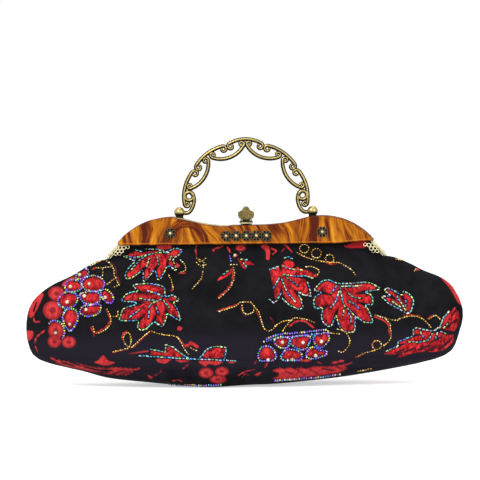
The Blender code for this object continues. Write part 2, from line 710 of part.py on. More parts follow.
def make_handle(pivot):
    """The openwork scroll handle: every stroke is a round bar, and they join where they touch."""
    strokes = [scroll(handle_place(TOP_LOBE_SHARES[0]), handle_place(TOP_LOBE_SHARES[1]),
                      TOP_LOBE_BULGE_SHARE, (1, 1))]
    sides = [scroll(handle_place(start), handle_place(end), bulge, curls)
             for start, end, bulge, curls in SIDE_LOBE_SHARES]
    sides.append(lower_stroke())
    for points, radii in sides:
        strokes.append((points, radii))
        strokes.append(([(-x, z) for x, z in reversed(points)], radii[::-1]))
    bars = [tube([(x, PIVOT_HEIGHT + z) for x, z in points], radii, STROKE_SIDES, CHANNEL_MIDDLE)
            for points, radii in strokes]
    for mirror in (-1, 1):
        centre = handle_place(RING_PLACE_SHARES)
        ring = [(-mirror * (centre[0] + RING_RADIUS * math.cos(a)), PIVOT_HEIGHT + centre[1]
                 + RING_RADIUS * math.sin(a)) for a in np.linspace(0, math.tau, RING_STEPS + 1)[:-1]]
        bars.append(tube(ring, [STROKE_RADIUS] * RING_STEPS, STROKE_SIDES, CHANNEL_MIDDLE, loop=True))
    handle = add_object("handle", bars[0], "antique_brass")
    combine(handle, [add_tool(bar) for bar in bars[1:]], "UNION")
    return set_pivot(handle, pivot)


def ear_outline(radius, base):
    """A clasp ear from the side: straight flanks from its base and a round top over the pin."""
    top = [(-CHANNEL_MIDDLE + radius * math.cos(a), CLASP_PIN_HEIGHT + radius * math.sin(a))
           for a in np.linspace(0, math.pi, EAR_STEPS + 1)]
    return [(-CHANNEL_MIDDLE + radius, base), *top, (-CHANNEL_MIDDLE - radius, base)]


def make_clasp_bracket():
    """A base strip on the front half's rim with an ear at each end."""
    base_top = CLASP_SEAT + CLASP_BASE_THICKNESS
    bracket = add_object("clasp_bracket", block((-CLASP_HALF_WIDTH, -CHANNEL_FACE, CLASP_SEAT),
                                                (CLASP_HALF_WIDTH, -HALF_GAP, base_top)), "antique_brass")
    outline = ear_outline(EAR_RADIUS, CLASP_SEAT + CLASP_BASE_THICKNESS / 2)
    ears = [add_tool(side_prism(outline, mirror * CLASP_HALF_WIDTH, mirror * (CLASP_HALF_WIDTH - EAR_THICKNESS)))
            for mirror in (-1, 1)]
    combine(bracket, ears, "UNION")
    return combine(bracket, [add_tool(clasp_bore())], "DIFFERENCE")


def clasp_bore():
    start = (-CLASP_HALF_WIDTH - CUT_OVERRUN, -CHANNEL_MIDDLE, CLASP_PIN_HEIGHT)
    return rod(start, (1, 0, 0), CLASP_PIN_RADIUS + PIN_CLEARANCE, 2 * (CLASP_HALF_WIDTH + CUT_OVERRUN), 10)


def make_clasp_pin():
    """The pin through both ears and the barrel, with a small head outside each ear."""
    outer = CLASP_HALF_WIDTH + FIT_GAP
    profile = (
        (0, -outer - CLASP_PIN_HEAD), (CLASP_PIN_HEAD_RADIUS, -outer - CLASP_PIN_HEAD),
        (CLASP_PIN_HEAD_RADIUS, -outer), (CLASP_PIN_RADIUS, -outer), (CLASP_PIN_RADIUS, outer),
        (CLASP_PIN_HEAD_RADIUS, outer), (CLASP_PIN_HEAD_RADIUS, outer + CLASP_PIN_HEAD),
        (0, outer + CLASP_PIN_HEAD),
    )
    bm = turned(profile, 10, (0, -CHANNEL_MIDDLE, CLASP_PIN_HEIGHT), (1, 0, 0))
    return add_object("clasp_pin", bm, "bright_brass")


def tab_outline():
    """The tab from the front, over the pin: a narrow neck, a wider root, two side lobes and a top lobe."""
    root = EAR_RADIUS + 2 * FIT_GAP
    top_centre = TAB_HEIGHT - TAB_TOP_RADIUS
    right = [(TAB_NECK_HALF_WIDTH, 0), (TAB_NECK_HALF_WIDTH, root), (TAB_ROOT_HALF_WIDTH, root)]
    for angle in np.linspace(math.radians(-75), math.radians(75), TAB_ROUND_STEPS):
        right.append((TAB_LOBE_REACH + TAB_LOBE_RADIUS * math.cos(angle),
                      TAB_LOBE_HEIGHT + TAB_LOBE_RADIUS * math.sin(angle)))
    for angle in np.linspace(math.radians(-20), math.radians(75), TAB_ROUND_STEPS):
        right.append((TAB_TOP_RADIUS * math.cos(angle), top_centre + TAB_TOP_RADIUS * math.sin(angle)))
    outline = [*right, (0, TAB_HEIGHT), *[(-x, z) for x, z in reversed(right)]]
    return [(x, CLASP_PIN_HEIGHT + z) for x, z in outline]


def make_clasp_lever(pivot):
    """The tilting tab: barrel on the pin, trefoil tab above, and a nose that lies over the catch."""
    half_barrel = CLASP_HALF_WIDTH - EAR_THICKNESS - FIT_GAP
    barrel = rod((-half_barrel, -CHANNEL_MIDDLE, CLASP_PIN_HEIGHT), (1, 0, 0), BARREL_RADIUS,
                 2 * half_barrel, BARREL_SIDES)
    lever = add_object("clasp_lever", barrel, "antique_brass")
    tab = front_prism(tab_outline(), -CHANNEL_MIDDLE - TAB_THICKNESS / 2, -CHANNEL_MIDDLE + TAB_THICKNESS / 2)
    nose_bottom = CLASP_PIN_HEIGHT + NOSE_RISE
    nose = block((-NOSE_HALF_WIDTH, -CHANNEL_MIDDLE, nose_bottom),
                 (NOSE_HALF_WIDTH, NOSE_END, nose_bottom + NOSE_THICKNESS))
    combine(lever, [add_tool(tab), add_tool(nose)], "UNION")
    combine(lever, [add_tool(clasp_bore())], "DIFFERENCE")
    return set_pivot(lever, pivot)


def make_clasp_catch():
    """The block on the rear half's rim that the nose lies on."""
    bm = block((-CATCH_HALF_WIDTH, HALF_GAP + CATCH_SETBACK, CLASP_SEAT),
               (CATCH_HALF_WIDTH, CHANNEL_FACE, CLASP_PIN_HEIGHT + NOSE_RISE - FIT_GAP))
    return add_object("clasp_catch", bm, "antique_brass")


def make_piping(side, name):
    """The cord in the channel's groove, over the cloth's top edge."""
    inset = CHANNEL_WALL + SHANK_TAIL + FIT_GAP + PIPING_RADIUS
    reach = PLATE_HALF_WIDTH * PIPING_END_SHARE
    rim = [(x, rim_top(x)) for x in np.linspace(-reach, reach, PLATE_STEPS + 1)]
    points = [(x + n[0] * inset, z + n[1] * inset) for (x, z), n in zip(rim, right_normals(rim))]
    bm = tube(points, [PIPING_RADIUS] * len(points), PIPING_SIDES, side * CHANNEL_MIDDLE)
    return add_object(name, bm, "piping_cord")


def bag_shape(z):
    """The bag's half width, half depth and squareness at height z."""
    heights, *values = np.array(BAG_ROWS).T
    return tuple(np.interp(z, heights, value) for value in values)


def lining_shape(z):
    """The same for the lining, which stays inside the cloth where the cloth slopes."""
    below, above = bag_shape(max(z - LINING_SHIFT, 0)), bag_shape(z + LINING_SHIFT)
    width = min(below[0], above[0]) - LINING_SIDE_INSET
    depth = min(below[1], above[1]) - LINING_SEAM_HALF
    return width, depth, min(below[2], above[2])


def bag_point(shape, seam_half, across, z, side):
    """A point of the bag's surface, across from -1 to 1 of its width."""
    width, depth, squareness = shape(z)
    lens = max(1 - abs(across) ** squareness, 0) ** LENS_POWER
    return (across * width, side * (seam_half + depth * lens), z)


def cloth_top(x):
    """Height of the cloth's top edge inside the channel."""
    step = PLATE_HALF_WIDTH / PLATE_STEPS
    slope = (rim_top(x + step / 2) - rim_top(x - step / 2)) / step
    return rim_top(x) - CLOTH_TOP_INSET * math.hypot(1, slope)


def columns(count):
    """Places across the bag, closer together towards its ends."""
    crowding = COLUMN_CROWDING_SHARE
    return [crowding * math.sin(math.pi / 2 * u) + (1 - crowding) * u for u in np.linspace(-1, 1, count + 1)]


def shape_heights(low, high):
    """The heights of the shape's rows between two heights, with both ends."""
    inner = [row[0] for row in BAG_ROWS]
    return [low, *[z for z in inner if low + CLOTH_THICKNESS < z < high - CLOTH_THICKNESS / 2], high]


def add_cloth(name, bm, look, thickness, pivot=None):
    """A sheet with its thickness added on the inside."""
    obj = add_object(name, bm, look, pivot, closed=False)
    solid = obj.modifiers.new("thickness", "SOLIDIFY")
    solid.thickness = thickness
    solid.offset = -1
    return obj


def make_panel(name, side, low, high, to_top, lining=False, pivot=None):
    """A front or rear sheet between two heights, or up to its edge inside the channel."""
    shape, seam_half = (lining_shape, LINING_SEAM_HALF) if lining else (bag_shape, SIDE_SEAM_HALF)
    count = LINING_COLUMNS if lining else PANEL_COLUMNS
    bm = bmesh.new()
    rows = [[bag_point(shape, seam_half, across, z, side) for across in columns(count)]
            for z in shape_heights(low, high)]
    if to_top:
        reach, depth = shape(high)[0], side * (seam_half + shape(high)[1])
        top_reach = reach * CLOTH_TOP_WIDTH_SHARE
        rows[-1] = [(across * reach, depth, high) for across in columns(count)]
        rows.append([(across * top_reach, depth, cloth_top(across * top_reach)) for across in columns(count)])
    grid = [[bm.verts.new(point) for point in row] for row in rows]
    for row, above in zip(grid, grid[1:]):
        for i in range(count):
            corners = (row[i], row[i + 1], above[i + 1], above[i])
            bm.faces.new(corners if side < 0 else corners[::-1])
    if lining:
        return add_cloth(name, bm, "lining_cloth", LINING_THICKNESS, pivot)
    return add_cloth(name, bm, "printed_cloth", CLOTH_THICKNESS, pivot)


def make_bowl(name, low, high, lining=False):
    """A closed ring of cloth from its flat bottom up to a height."""
    shape, seam_half = (lining_shape, LINING_SEAM_HALF) if lining else (bag_shape, SIDE_SEAM_HALF)
    count = LINING_COLUMNS if lining else GUSSET_COLUMNS
    bm = bmesh.new()
    rings = []
    for z in shape_heights(low, high):
        front = [bag_point(shape, seam_half, across, z, -1) for across in columns(count)]
        rear = [(x, -y, height) for x, y, height in reversed(front)]
        rings.append([bm.verts.new(point) for point in front + rear])
    skin(bm, rings, caps=False)
    bm.faces.new(reversed(rings[0]))
    if lining:
        return add_cloth(name, bm, "lining_cloth", LINING_THICKNESS)
    return add_cloth(name, bm, "printed_cloth", CLOTH_THICKNESS)


def make_half(side, half, pivot):
    """Frame, plate, flanges, flower caps, studs and piping of one half."""
    made = [make_frame(side, f"{half}_frame"), make_plate(side, f"{half}_plate"), make_piping(side, f"{half}_piping")]
    for mirror, hand in ((-1, "left"), (1, "right")):
        made.append(make_flange(side, mirror, f"{half}_flange_{hand}"))
    for place, x, z in stud_places(side):
        made.append(make_cap(side, f"{half}_flower_{place}", x, z))
        made.append(make_stud(side, f"{half}_stud_{place}", x, z))
    for obj in made if pivot else []:
        set_pivot(obj, pivot)


def main():
    for obj in list(bpy.data.objects):
        bpy.data.objects.remove(obj)
    frame_pivot = add_pivot("frame_hinge_axis", (0, 0, HINGE_HEIGHT))
    clasp_pivot = add_pivot("clasp_axis", (0, -CHANNEL_MIDDLE, CLASP_PIN_HEIGHT), frame_pivot)
    handle_pivot = add_pivot("handle_axis", (0, CHANNEL_MIDDLE, PIVOT_HEIGHT))

    make_half(1, "rear", None)
    make_half(-1, "front", frame_pivot)
    for mirror, hand in ((-1, "left"), (1, "right")):
        make_rivet(f"hinge_rivet_{hand}", mirror)
        make_post(f"handle_post_{hand}", mirror)
    make_handle(handle_pivot)
    set_pivot(make_clasp_bracket(), frame_pivot)
    set_pivot(make_clasp_pin(), frame_pivot)
    make_clasp_lever(clasp_pivot)
    make_clasp_catch()

    seam = SEAM_HEIGHT + FIT_GAP
    make_bowl("base_gusset", 0.0, SEAM_HEIGHT)
    make_panel("front_panel", -1, seam, GATHER_HEIGHT, False)
    make_panel("rear_panel", 1, seam, PLATE_BOTTOM, True)
    make_panel("front_gather", -1, GATHER_HEIGHT + FIT_GAP, PLATE_BOTTOM, True, pivot=frame_pivot)
    make_bowl("lining_pouch", CLOTH_THICKNESS + FIT_GAP, GATHER_HEIGHT, True)
    lining_low = GATHER_HEIGHT + FIT_GAP
    make_panel("lining_rear_neck", 1, lining_low, PLATE_BOTTOM, True, lining=True)
    make_panel("lining_front_neck", -1, lining_low, PLATE_BOTTOM, True, lining=True, pivot=frame_pivot)


main()
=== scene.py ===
import math
from functools import partialmethod

import bmesh
import bpy
import numpy as np
from mathutils import Matrix, Vector


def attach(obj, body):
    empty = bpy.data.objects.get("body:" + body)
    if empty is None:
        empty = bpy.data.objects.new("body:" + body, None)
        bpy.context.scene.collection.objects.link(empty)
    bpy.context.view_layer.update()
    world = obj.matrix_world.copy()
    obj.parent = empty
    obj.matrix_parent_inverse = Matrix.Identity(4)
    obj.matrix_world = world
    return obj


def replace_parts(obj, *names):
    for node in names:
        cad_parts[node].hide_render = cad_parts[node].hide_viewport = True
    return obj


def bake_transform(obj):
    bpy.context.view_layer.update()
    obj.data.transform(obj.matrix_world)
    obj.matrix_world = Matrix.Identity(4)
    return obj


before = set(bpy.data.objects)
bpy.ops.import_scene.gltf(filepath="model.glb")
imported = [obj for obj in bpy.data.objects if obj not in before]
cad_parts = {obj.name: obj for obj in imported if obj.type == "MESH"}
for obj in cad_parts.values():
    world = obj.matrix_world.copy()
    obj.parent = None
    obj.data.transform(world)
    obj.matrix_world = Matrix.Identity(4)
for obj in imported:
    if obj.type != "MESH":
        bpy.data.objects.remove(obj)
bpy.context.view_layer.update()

# Metres, in the CAD frame: +X right, +Y to the back, +Z up. Motifs are written in pixels of the photograph,
# 0.87 mm each, about the point under the middle of the bag.
PX = 0.00087
MIDDLE_PX, CENTRE_PX, BASE_PX = 246.3, 240.0, 385.0
ROLL = 0.0105
DISTANCE, ELEVATION = 1.9, math.radians(2.5)
AIM = Vector(((CENTRE_PX - MIDDLE_PX) * PX, 0, (BASE_PX - CENTRE_PX) * PX))
EYE = AIM + DISTANCE * Vector((0, -math.cos(ELEVATION), math.sin(ELEVATION)))
PLATE_BOTTOM, PLATE_HALF, PLATE_HEIGHT = 0.1228, 0.1105, 0.02315
PLATE_BACK, PLATE_FACE = 0.0052, 0.0094
SEAM_HALF = 0.0013
CLOTH_TOP = 0.1245
HALF, HAND = {-1: "front", 1: "rear"}, {-1: "left", 1: "right"}  # by the sign of y, and of x
SURE = np.random.default_rng(11)


def place(px, py):
    """Model x and z, on the plane through the bag's middle, of a point of the photograph."""
    px, py = np.asarray(px, float), np.asarray(py, float)
    return (px - MIDDLE_PX + ROLL * (CENTRE_PX - py)) * PX, (BASE_PX - py - ROLL * (px - CENTRE_PX)) * PX


def to_plane(x, y, z):
    """Where the camera sees a point of the front, on the plane through the bag's middle."""
    t = EYE.y / (EYE.y - y)
    return EYE.x + (x - EYE.x) * t, EYE.z + (z - EYE.z) * t


def from_plane(x, z, y):
    """The inverse of to_plane for a point whose depth is known."""
    t = EYE.y / (EYE.y - y)
    return EYE.x + (x - EYE.x) / t, EYE.z + (z - EYE.z) / t


def smooth(t):
    t = np.clip(t, 0, 1)
    return t * t * (3 - 2 * t)


# The bag's surface: height, reach to the left, reach to the right, half depth (mm), and squareness from above
SHAPE = np.array([
    (0, 58.0, 24.0, 21.1, 2), (2.6, 83.0, 48.4, 24.6, 2), (4.3, 99.5, 67.8, 26.2, 2),
    (6.1, 116.9, 83.4, 27.8, 2), (8, 126.0, 97.0, 29, 2), (10.4, 134.4, 112.0, 30.3, 2),
    (13, 142.6, 127.3, 31.5, 2), (16.1, 156.1, 144.1, 32.7, 2), (20.4, 173.2, 162.7, 33.8, 2.05),
    (23.8, 181.7, 172.1, 34.5, 2.1), (28.3, 187.2, 178.2, 34.8, 2.1), (33, 189.5, 181.1, 35.1, 2.1),
    (39.6, 191.4, 183.5, 35.3, 2.15), (45, 192.2, 185.0, 35.2, 2.2), (51.3, 192.5, 187.0, 35, 2.2),
    (57, 192.2, 188.0, 34.2, 2.2), (63.5, 191.2, 187.9, 33.3, 2.2), (69, 189.5, 186.6, 31.7, 2.25),
    (74.4, 186.6, 184.6, 30, 2.25), (79, 182.6, 182.0, 28, 2.3), (84, 176.6, 179.0, 25.8, 2.35),
    (87.5, 171.4, 175.4, 23.9, 2.4), (90.9, 165.0, 171.0, 22.2, 2.5), (94, 157.6, 164.6, 20.4, 2.6),
    (97.4, 150.5, 155.5, 18.4, 2.8), (100, 146.4, 150.0, 16.8, 3), (103, 141.2, 145.0, 14.7, 3.2),
    (105, 138.0, 140.6, 13.4, 3.4), (107, 134.2, 136.4, 12.2, 3.6), (110, 125.0, 129.0, 9.3, 4.4),
    (112, 116.0, 116.5, 7, 5), (118, 111.0, 111.0, 3.4, 8), (122.8, 104.9, 104.9, 2.1, 12),
    (127, 103.0, 103.0, 2.1, 12),
])
FINE_Z = np.linspace(0, .127, 600)


def smoothed(column, scale=.001):
    values = np.interp(FINE_Z, SHAPE[:, 0] / 1000, SHAPE[:, column] * scale)
    kernel = np.exp(-np.linspace(-2, 2, 19) ** 2)
    kernel /= kernel.sum()
    soft = np.convolve(np.pad(values, 9, mode="edge"), kernel, mode="valid")
    keep = smooth(FINE_Z / .003)
    return values * (1 - keep) + soft * keep


LEFT, RIGHT, DEPTH, SQUARE = smoothed(1), smoothed(2), smoothed(3), smoothed(4, 1)


def shape_at(z):
    """Middle in x, half width, half depth and squareness of the bag at height z."""
    left, right, depth, square = (np.interp(z, FINE_Z, f) for f in (LEFT, RIGHT, DEPTH, SQUARE))
    return (right - left) / 2, (right + left) / 2, depth, square


def lens_at(u, square):
    """Share of the half depth at the share u of the half width."""
    return (1 - np.minimum(np.abs(u), 1) ** square) ** .72


def folds(x, z, side):
    """How far the cloth stands proud of its plain form, in metres. a and h are millimetres across and up."""
    a = x * 1000 * (1 if side < 0 else -1)
    h = z * 1000
    gather = smooth((h - 84) / 26) * (1 - .75 * smooth((h - 115) / 7))
    pleats = (np.sin(a / 3.1 + 1.7 * np.sin(a / 19)) + .7 * np.sin(a / 1.83 + 2.1 * np.sin(a / 27 + 1))
              + .5 * np.sin(a / 6.7 + .6))
    out = .00036 * gather * pleats
    out += .0009 * np.sin(a / 23 + .8 * np.sin(h / 17)) * np.sin(h / 27 + a / 70) * smooth((h - 6) / 20)
    out += .0005 * np.sin(a / 11 + h / 9) * smooth((np.abs(a) - 110) / 50) * smooth((h - 10) / 20)
    # a soft fold under the seam and the seam's own groove
    out -= .0010 * np.exp(-((h - 15.5 - .8 * np.sin(a / 40)) / 1.5) ** 2) * smooth((150 - np.abs(a)) / 40)
    out -= .0007 * np.exp(-((h - 24.2) / .7) ** 2)
    # diagonal drag lines from the frame's ends down to the bag's corners
    drag = np.sin((h + .42 * np.abs(a)) / 4.3 + .5 * np.sin(a / 9))
    out += .00045 * drag * smooth((np.abs(a) - 70) / 40) * smooth((h - 60) / 25) * smooth((112 - h) / 10)
    return out


def cloth_y(x, z, side, puff=0.0):
    """y of the cloth's outer side. side is -1 in front, 1 behind."""
    middle, width, depth, square = shape_at(z)
    lens = lens_at((x - middle) / width, square)
    loose = np.minimum(lens * 2.5, 1) * np.clip((CLOTH_TOP - z) / .006, 0, 1)
    return side * (SEAM_HALF + depth * lens + (folds(x, z, side) + puff) * loose)


# The vine pattern. Its points are pixels of the photograph: x and y in turn, or pairs.
LEAVES = {  # outline and veins
    "a": ([122, 255.5, 129, 250.5, 136.5, 247.5, 146, 249.5, 156, 249, 166, 252.5, 171, 250, 175.5, 247.8, 183, 250.5,
        178, 256, 175, 261.5, 177, 271.5, 168, 269, 160.8, 279, 157.8, 280, 153.2, 272.5, 147.5, 279, 143, 282.5,
        140.5, 271.5, 134, 277, 126.6, 279.8, 125, 275, 128.5, 268.5, 132.2, 262.5, 129.5, 259.3], [[170, 252.5,
        156, 253, 136, 258, 125, 256], [147, 255.5, 139, 261, 131, 270.5], [149.6, 257.5, 146.5, 267.8],
        [157.2, 256.5, 158.6, 266], [171.8, 255.5, 169, 261], [143, 252.3, 135, 249.3]]),
    "b": ([132, 285, 148.5, 283.5, 161.5, 286, 165, 289, 165.5, 294.5, 168, 297, 173.4, 295, 180, 300.5, 176, 304,
        177.7, 310.3, 180.5, 320.5, 176, 319, 168, 316.5, 165.5, 321, 162.5, 327.6, 152.7, 325, 146.5, 329,
        141.4, 330.5, 137.3, 328, 136.3, 323, 128.2, 321, 119, 320.5, 121, 314.5, 123, 308.5, 133, 305.5, 132, 303,
        121.5, 301.5, 125, 295.5, 131, 292.5, 134.9, 290.7], [[146.3, 290.7, 158.2, 294.5, 163.5, 297], [138.7, 298.3,
        147, 300.3, 155, 300.6], [162, 299, 151.7, 303.8, 148, 308], [156, 306, 158.4, 314.6], [162.8, 300.5,
        170, 308.6], [140.4, 309, 129.2, 317.8], [149, 310.3, 148.4, 319]]),
    "c": ([138, 356, 149.5, 354.2, 149.5, 349.3, 164.7, 352.6, 165.8, 345, 173.4, 347.7, 182, 354.5, 189, 359,
        170, 358], []),
    "c2": ([199.4, 359, 206, 350.4, 211, 347.7, 216.8, 346.6, 225.4, 347.8, 226, 352, 224.4, 360], []),
    "d": ([268.4, 270, 272, 266.4, 280, 264.6, 283, 260.5, 288, 258, 294.5, 261, 297, 265, 303, 268, 310, 270,
        321.8, 276.5, 313.9, 278.8, 306, 277.5, 309, 289, 311.5, 296.7, 304, 296, 298.2, 294.2, 302.4, 301.5,
        303, 307.6, 300, 310.6, 287.3, 304, 281.3, 293.5, 276.4, 301, 273.7, 300.5, 272, 288.6, 269.9, 277.7],
        [[281.2, 278.5, 287.3, 293, 295.8, 302.7], [286, 277.3, 298.2, 286.5], [282.4, 274.6, 294.5, 276.4,
        306, 276.4, 314, 278.6], [279.7, 277.7, 273.2, 289]]),
    "e": ([322.4, 281, 328.5, 280.3, 338.2, 284, 350, 283.6, 360, 283, 369.7, 282.7, 381.8, 289.4, 367.3, 291.2,
        372, 295.5, 373.3, 305, 368.5, 305.8, 370.3, 313.6, 373.3, 322.7, 364.8, 322.7, 357.6, 319, 355, 331.8,
        349, 333, 341.8, 330.6, 338.2, 323.3, 334.5, 317.9, 332, 325.8, 328.5, 327, 323.6, 323.3, 321.2, 317.3,
        320, 310, 315.2, 308.8, 313.3, 302.7, 315.2, 296.7, 318.8, 291.8, 314, 290.6, 317.6, 285.8], [[340, 287,
        343, 302.7, 345.5, 307.6], [339.4, 290.6, 335.8, 301.5, 330.3, 308.8], [337, 285.6, 330.3, 294.8],
        [347.9, 293, 354, 297.9, 361.2, 298.5], [347.9, 301.5, 354, 304, 359.4, 309.4], [346.7, 307.6, 352.7, 313.6,
        357, 318.5], [344.2, 310, 343, 316.7], [347.9, 312.4, 351, 317.3, 351, 323.3], [341, 286.6, 352, 286.8,
        362, 285.8]]),
    "f": ([380.6, 296.5, 389, 294.2, 384.2, 290.6, 387.9, 287.6, 401.2, 292.4, 403.6, 290.6, 411, 295.5, 413.9, 301.5,
        411, 312.4, 406.7, 313.6, 401.2, 310, 389, 304], [[396.4, 295.5, 406, 311], [406, 299.7, 405.5, 307.5],
        [391.5, 301.5, 401.2, 307.6]]),
    "g": ([436.4, 329.4, 441, 325, 443.6, 317.3, 449.7, 310.5, 455.8, 304.5, 460.8, 313, 461.5, 322, 456, 333,
        449, 332], [[449.7, 311.2, 443.6, 317.3, 440, 327, 435, 330], [448.5, 323, 443, 329], [440, 331, 447, 334.5],
        [437.5, 332, 435.5, 339.5]]),
    "h": ([413.3, 330, 416, 328.2, 431.5, 331, 438, 331, 449, 334, 455.5, 333.5, 455, 343, 446, 351.5, 433, 354,
        424, 353.5, 413, 355, 402, 359, 392, 360, 396, 356.5, 379.4, 355.5, 385.5, 351.8, 397.6, 346.4, 398.8, 341.5,
        408.5, 338, 413.3, 335.8], [[420, 331.5, 423.6, 338], [408, 342, 420, 342.3, 428.5, 340, 433, 333]]),
    "bud": ([229.5, 257, 236, 252.5, 241, 253, 239, 257, 234.5, 259.5], []),
}
ROOTS = {  # where the veins of a leaf meet
    "a": (166, 252), "b": (162, 298), "d": (282, 277), "e": (343, 298), "f": (406, 309), "g": (441, 330),
    "h": (436, 333),
}
SHADES = [  # painted shade on the padded red, where it folds and turns from the light: centre, reach and strength
    (147, 293.5, 12, 2.6, .85), (163, 293.5, 4, 3, .7), (273, 291, 5, 12, .8), (270.5, 275, 3.5, 6, .45),
    (316.5, 300, 5, 10, .75), (324, 316, 4.5, 10, .5), (341, 291, 7, 4, .35), (150, 252, 15, 2, .35),
    (158, 262, 4, 6, .3), (136, 262, 6, 2.5, .4), (288, 300, 4, 5, .4), (296, 281, 6, 3, .35), (170, 302, 4, 6, .3),
    (140, 316, 5, 7, .25), (352, 309, 4, 6, .3), (362, 300, 5, 3, .3), (340, 322, 3, 7, .35), (402, 305, 5, 3, .4),
    (74, 291, 7, 3, .5), (94, 288, 8, 3, .4), (89, 303, 8, 3, .45), (67, 305, 7, 3, .45), (90, 313, 8, 2.5, .5),
    (73, 325, 4, 5, .5), (58, 334, 5, 3.5, .4), (109, 300, 4, 3, .5), (285, 345, 5, 3, .45), (305, 345, 6, 2.6, .4),
    (322, 344.5, 5, 2.6, .45), (270, 357, 6, 2.6, .4), (292, 357, 6, 2.4, .35), (316, 355.5, 6, 2.2, .4),
    (448, 322, 4, 8, .3), (430, 347, 10, 3, .25), (170, 352, 6, 2.5, .35), (215, 355, 6, 3, .25),
]
# outlines without beads along some stretches: the ways along which beads lie
PART_BEADED = {
    "c": [[138, 356, 162.5, 357.4, 177.7, 358.4, 189, 359.2, 215, 360, 236.8, 360.9], [149.5, 349.3, 164.7, 352.6,
        165.8, 345, 173.4, 347.7, 182, 354.5, 189, 359]],
    "c2": [LEAVES["c2"][0]],
    "d": [[268.4, 299, 273.7, 303, 276.7, 301.2, 281.6, 293], [281.6, 298.4, 289.5, 305.4, 299.8, 310, 303, 307.4,
        301.4, 300, 298.6, 294.8], [298.4, 292.4, 304.2, 295.4, 310.8, 296.4, 310.2, 290.6, 307.2, 281.4],
        [283.6, 259.4, 287.6, 257.2, 293.4, 259.6], [268.6, 270.6, 279.2, 266.4], [281.6, 266, 291, 269.2,
        303, 270.4]],
    "g": [[436.4, 329.4, 441, 325, 443.6, 317.3, 449.7, 310.5]],
    "h": [[436.4, 330.4, 431.5, 331, 416, 328.2, 413.3, 330, 413.3, 335.8, 408.5, 338, 398.8, 341.5, 397.6, 346.4,
        385.5, 351.8]],
    "bud": [],
}
SPRIGS = [  # small red leaves with short bead lines on them
    ([236.6, 257.8, 243, 258.6, 249.5, 260.4, 255.6, 265.6, 248.2, 264.4, 246, 270, 242, 267.4, 239.4, 262.8],
    [[239.5, 259.3, 248.4, 260.6], [243, 262.5, 246.8, 268.2]]), ([232, 268.8, 226, 271, 221, 275.4, 215.8, 282,
    225.4, 277.8, 231, 273.8], [[228.9, 270.6, 222, 275.4]]),
]
GRAPES = [  # beaded ring and pearl of each grape, of the left bunch and then of the bunch at the seam
    ([75.6, 278.6, 77.4, 273.4, 82.6, 269.2, 88, 269.2, 89.2, 273.6, 85.4, 278, 79.6, 280], (79.9, 275.6)),
    ([80.8, 284, 86, 277.6, 94.4, 275.6, 102.4, 279, 105.2, 285, 101.4, 290.6, 93.4, 292.4, 85, 290.4],
    (89.7, 284.6)), ([64.6, 288.6, 66.6, 282.6, 71.4, 280, 79.6, 281.6, 83.2, 287.4, 78, 291.8, 68.6, 292.6],
    (71, 287.4)), ([79.2, 297.6, 81, 293.6, 89.2, 292, 97.4, 291.4, 100.4, 296.4, 100.2, 302, 93.4, 305, 84.6, 304],
    (84.5, 296.3)), ([100.8, 295.4, 101.6, 289.8, 107.6, 290, 113, 295.4, 114, 301, 111.4, 304, 106.8, 303,
    102.6, 299], (105.7, 298.2)), ([57.4, 301, 61.6, 295, 68.6, 291.8, 76, 293.6, 78.2, 299.4, 75, 306.2, 66.4, 308.6,
    59.6, 306.4], (67.7, 302.4)), ([79.6, 312, 82.4, 306.4, 92, 305.4, 100.6, 304.4, 101, 311, 96, 315.6, 87, 316.8,
    81.6, 315], (86.3, 310.1)), ([62.4, 319.6, 63.8, 313, 67.6, 309, 74.4, 309, 78.4, 314, 77.8, 321, 73.6, 328,
    70.2, 332, 65.6, 327], (70.2, 324.4)), ([257.6, 356.4, 261.2, 347.2, 267, 346, 272.8, 348.2, 277.2, 357.4,
    271.5, 361.2, 260, 360.8], (268, 359.6)), ([273.4, 339.6, 276, 345.6, 281.5, 348.4, 288, 347.8, 290.4, 338.6,
    281.6, 336.6], (282.6, 342.3)), ([291.4, 337.4, 290.6, 344, 296, 348.2, 302, 350.4, 306.6, 348.8, 310.2, 341,
    310.6, 336.2, 300, 335.6], (303, 342.7)), ([312.6, 337.2, 315, 344.4, 319.8, 348.8, 325.4, 345.2, 330, 338.6,
    327, 332.6, 317, 334.4], (321.2, 341.5)), ([280, 358.6, 283, 352.6, 286.2, 349.6, 295.8, 349.8, 301.6, 353.4,
    302.4, 358, 297.6, 360.8, 288.6, 361.4], (292, 359.4)), ([306.2, 357.6, 306.2, 352.6, 310.8, 347.2, 314.6, 347,
    319.8, 350.8, 327.2, 350.8, 325.8, 355.2, 318.4, 358.2, 311, 359], (315.5, 355.6)),
]
BEAD_ROWS = [  # rows of seed beads that close both bunches, by the bud and below the seam
    [265.6, 339.6, 275, 335.6, 283, 334, 299.2, 333, 315, 331, 326, 329.4, 330.6, 333.6], [263, 342.5, 276, 338.2,
    299, 336.2, 315, 334.4, 325, 333], [48.4, 324.6, 50.6, 321.6, 54.8, 320.6, 60, 321.8, 64, 327, 64.8, 333.4,
    62, 339], [229.6, 256, 231.5, 262.5], [239.5, 254.6, 241.4, 252.6], [168, 384.2, 180, 385, 205, 385.2,
    222, 384.4], [274, 380.4, 300, 378.4, 322, 376.6, 341, 373.6],
]
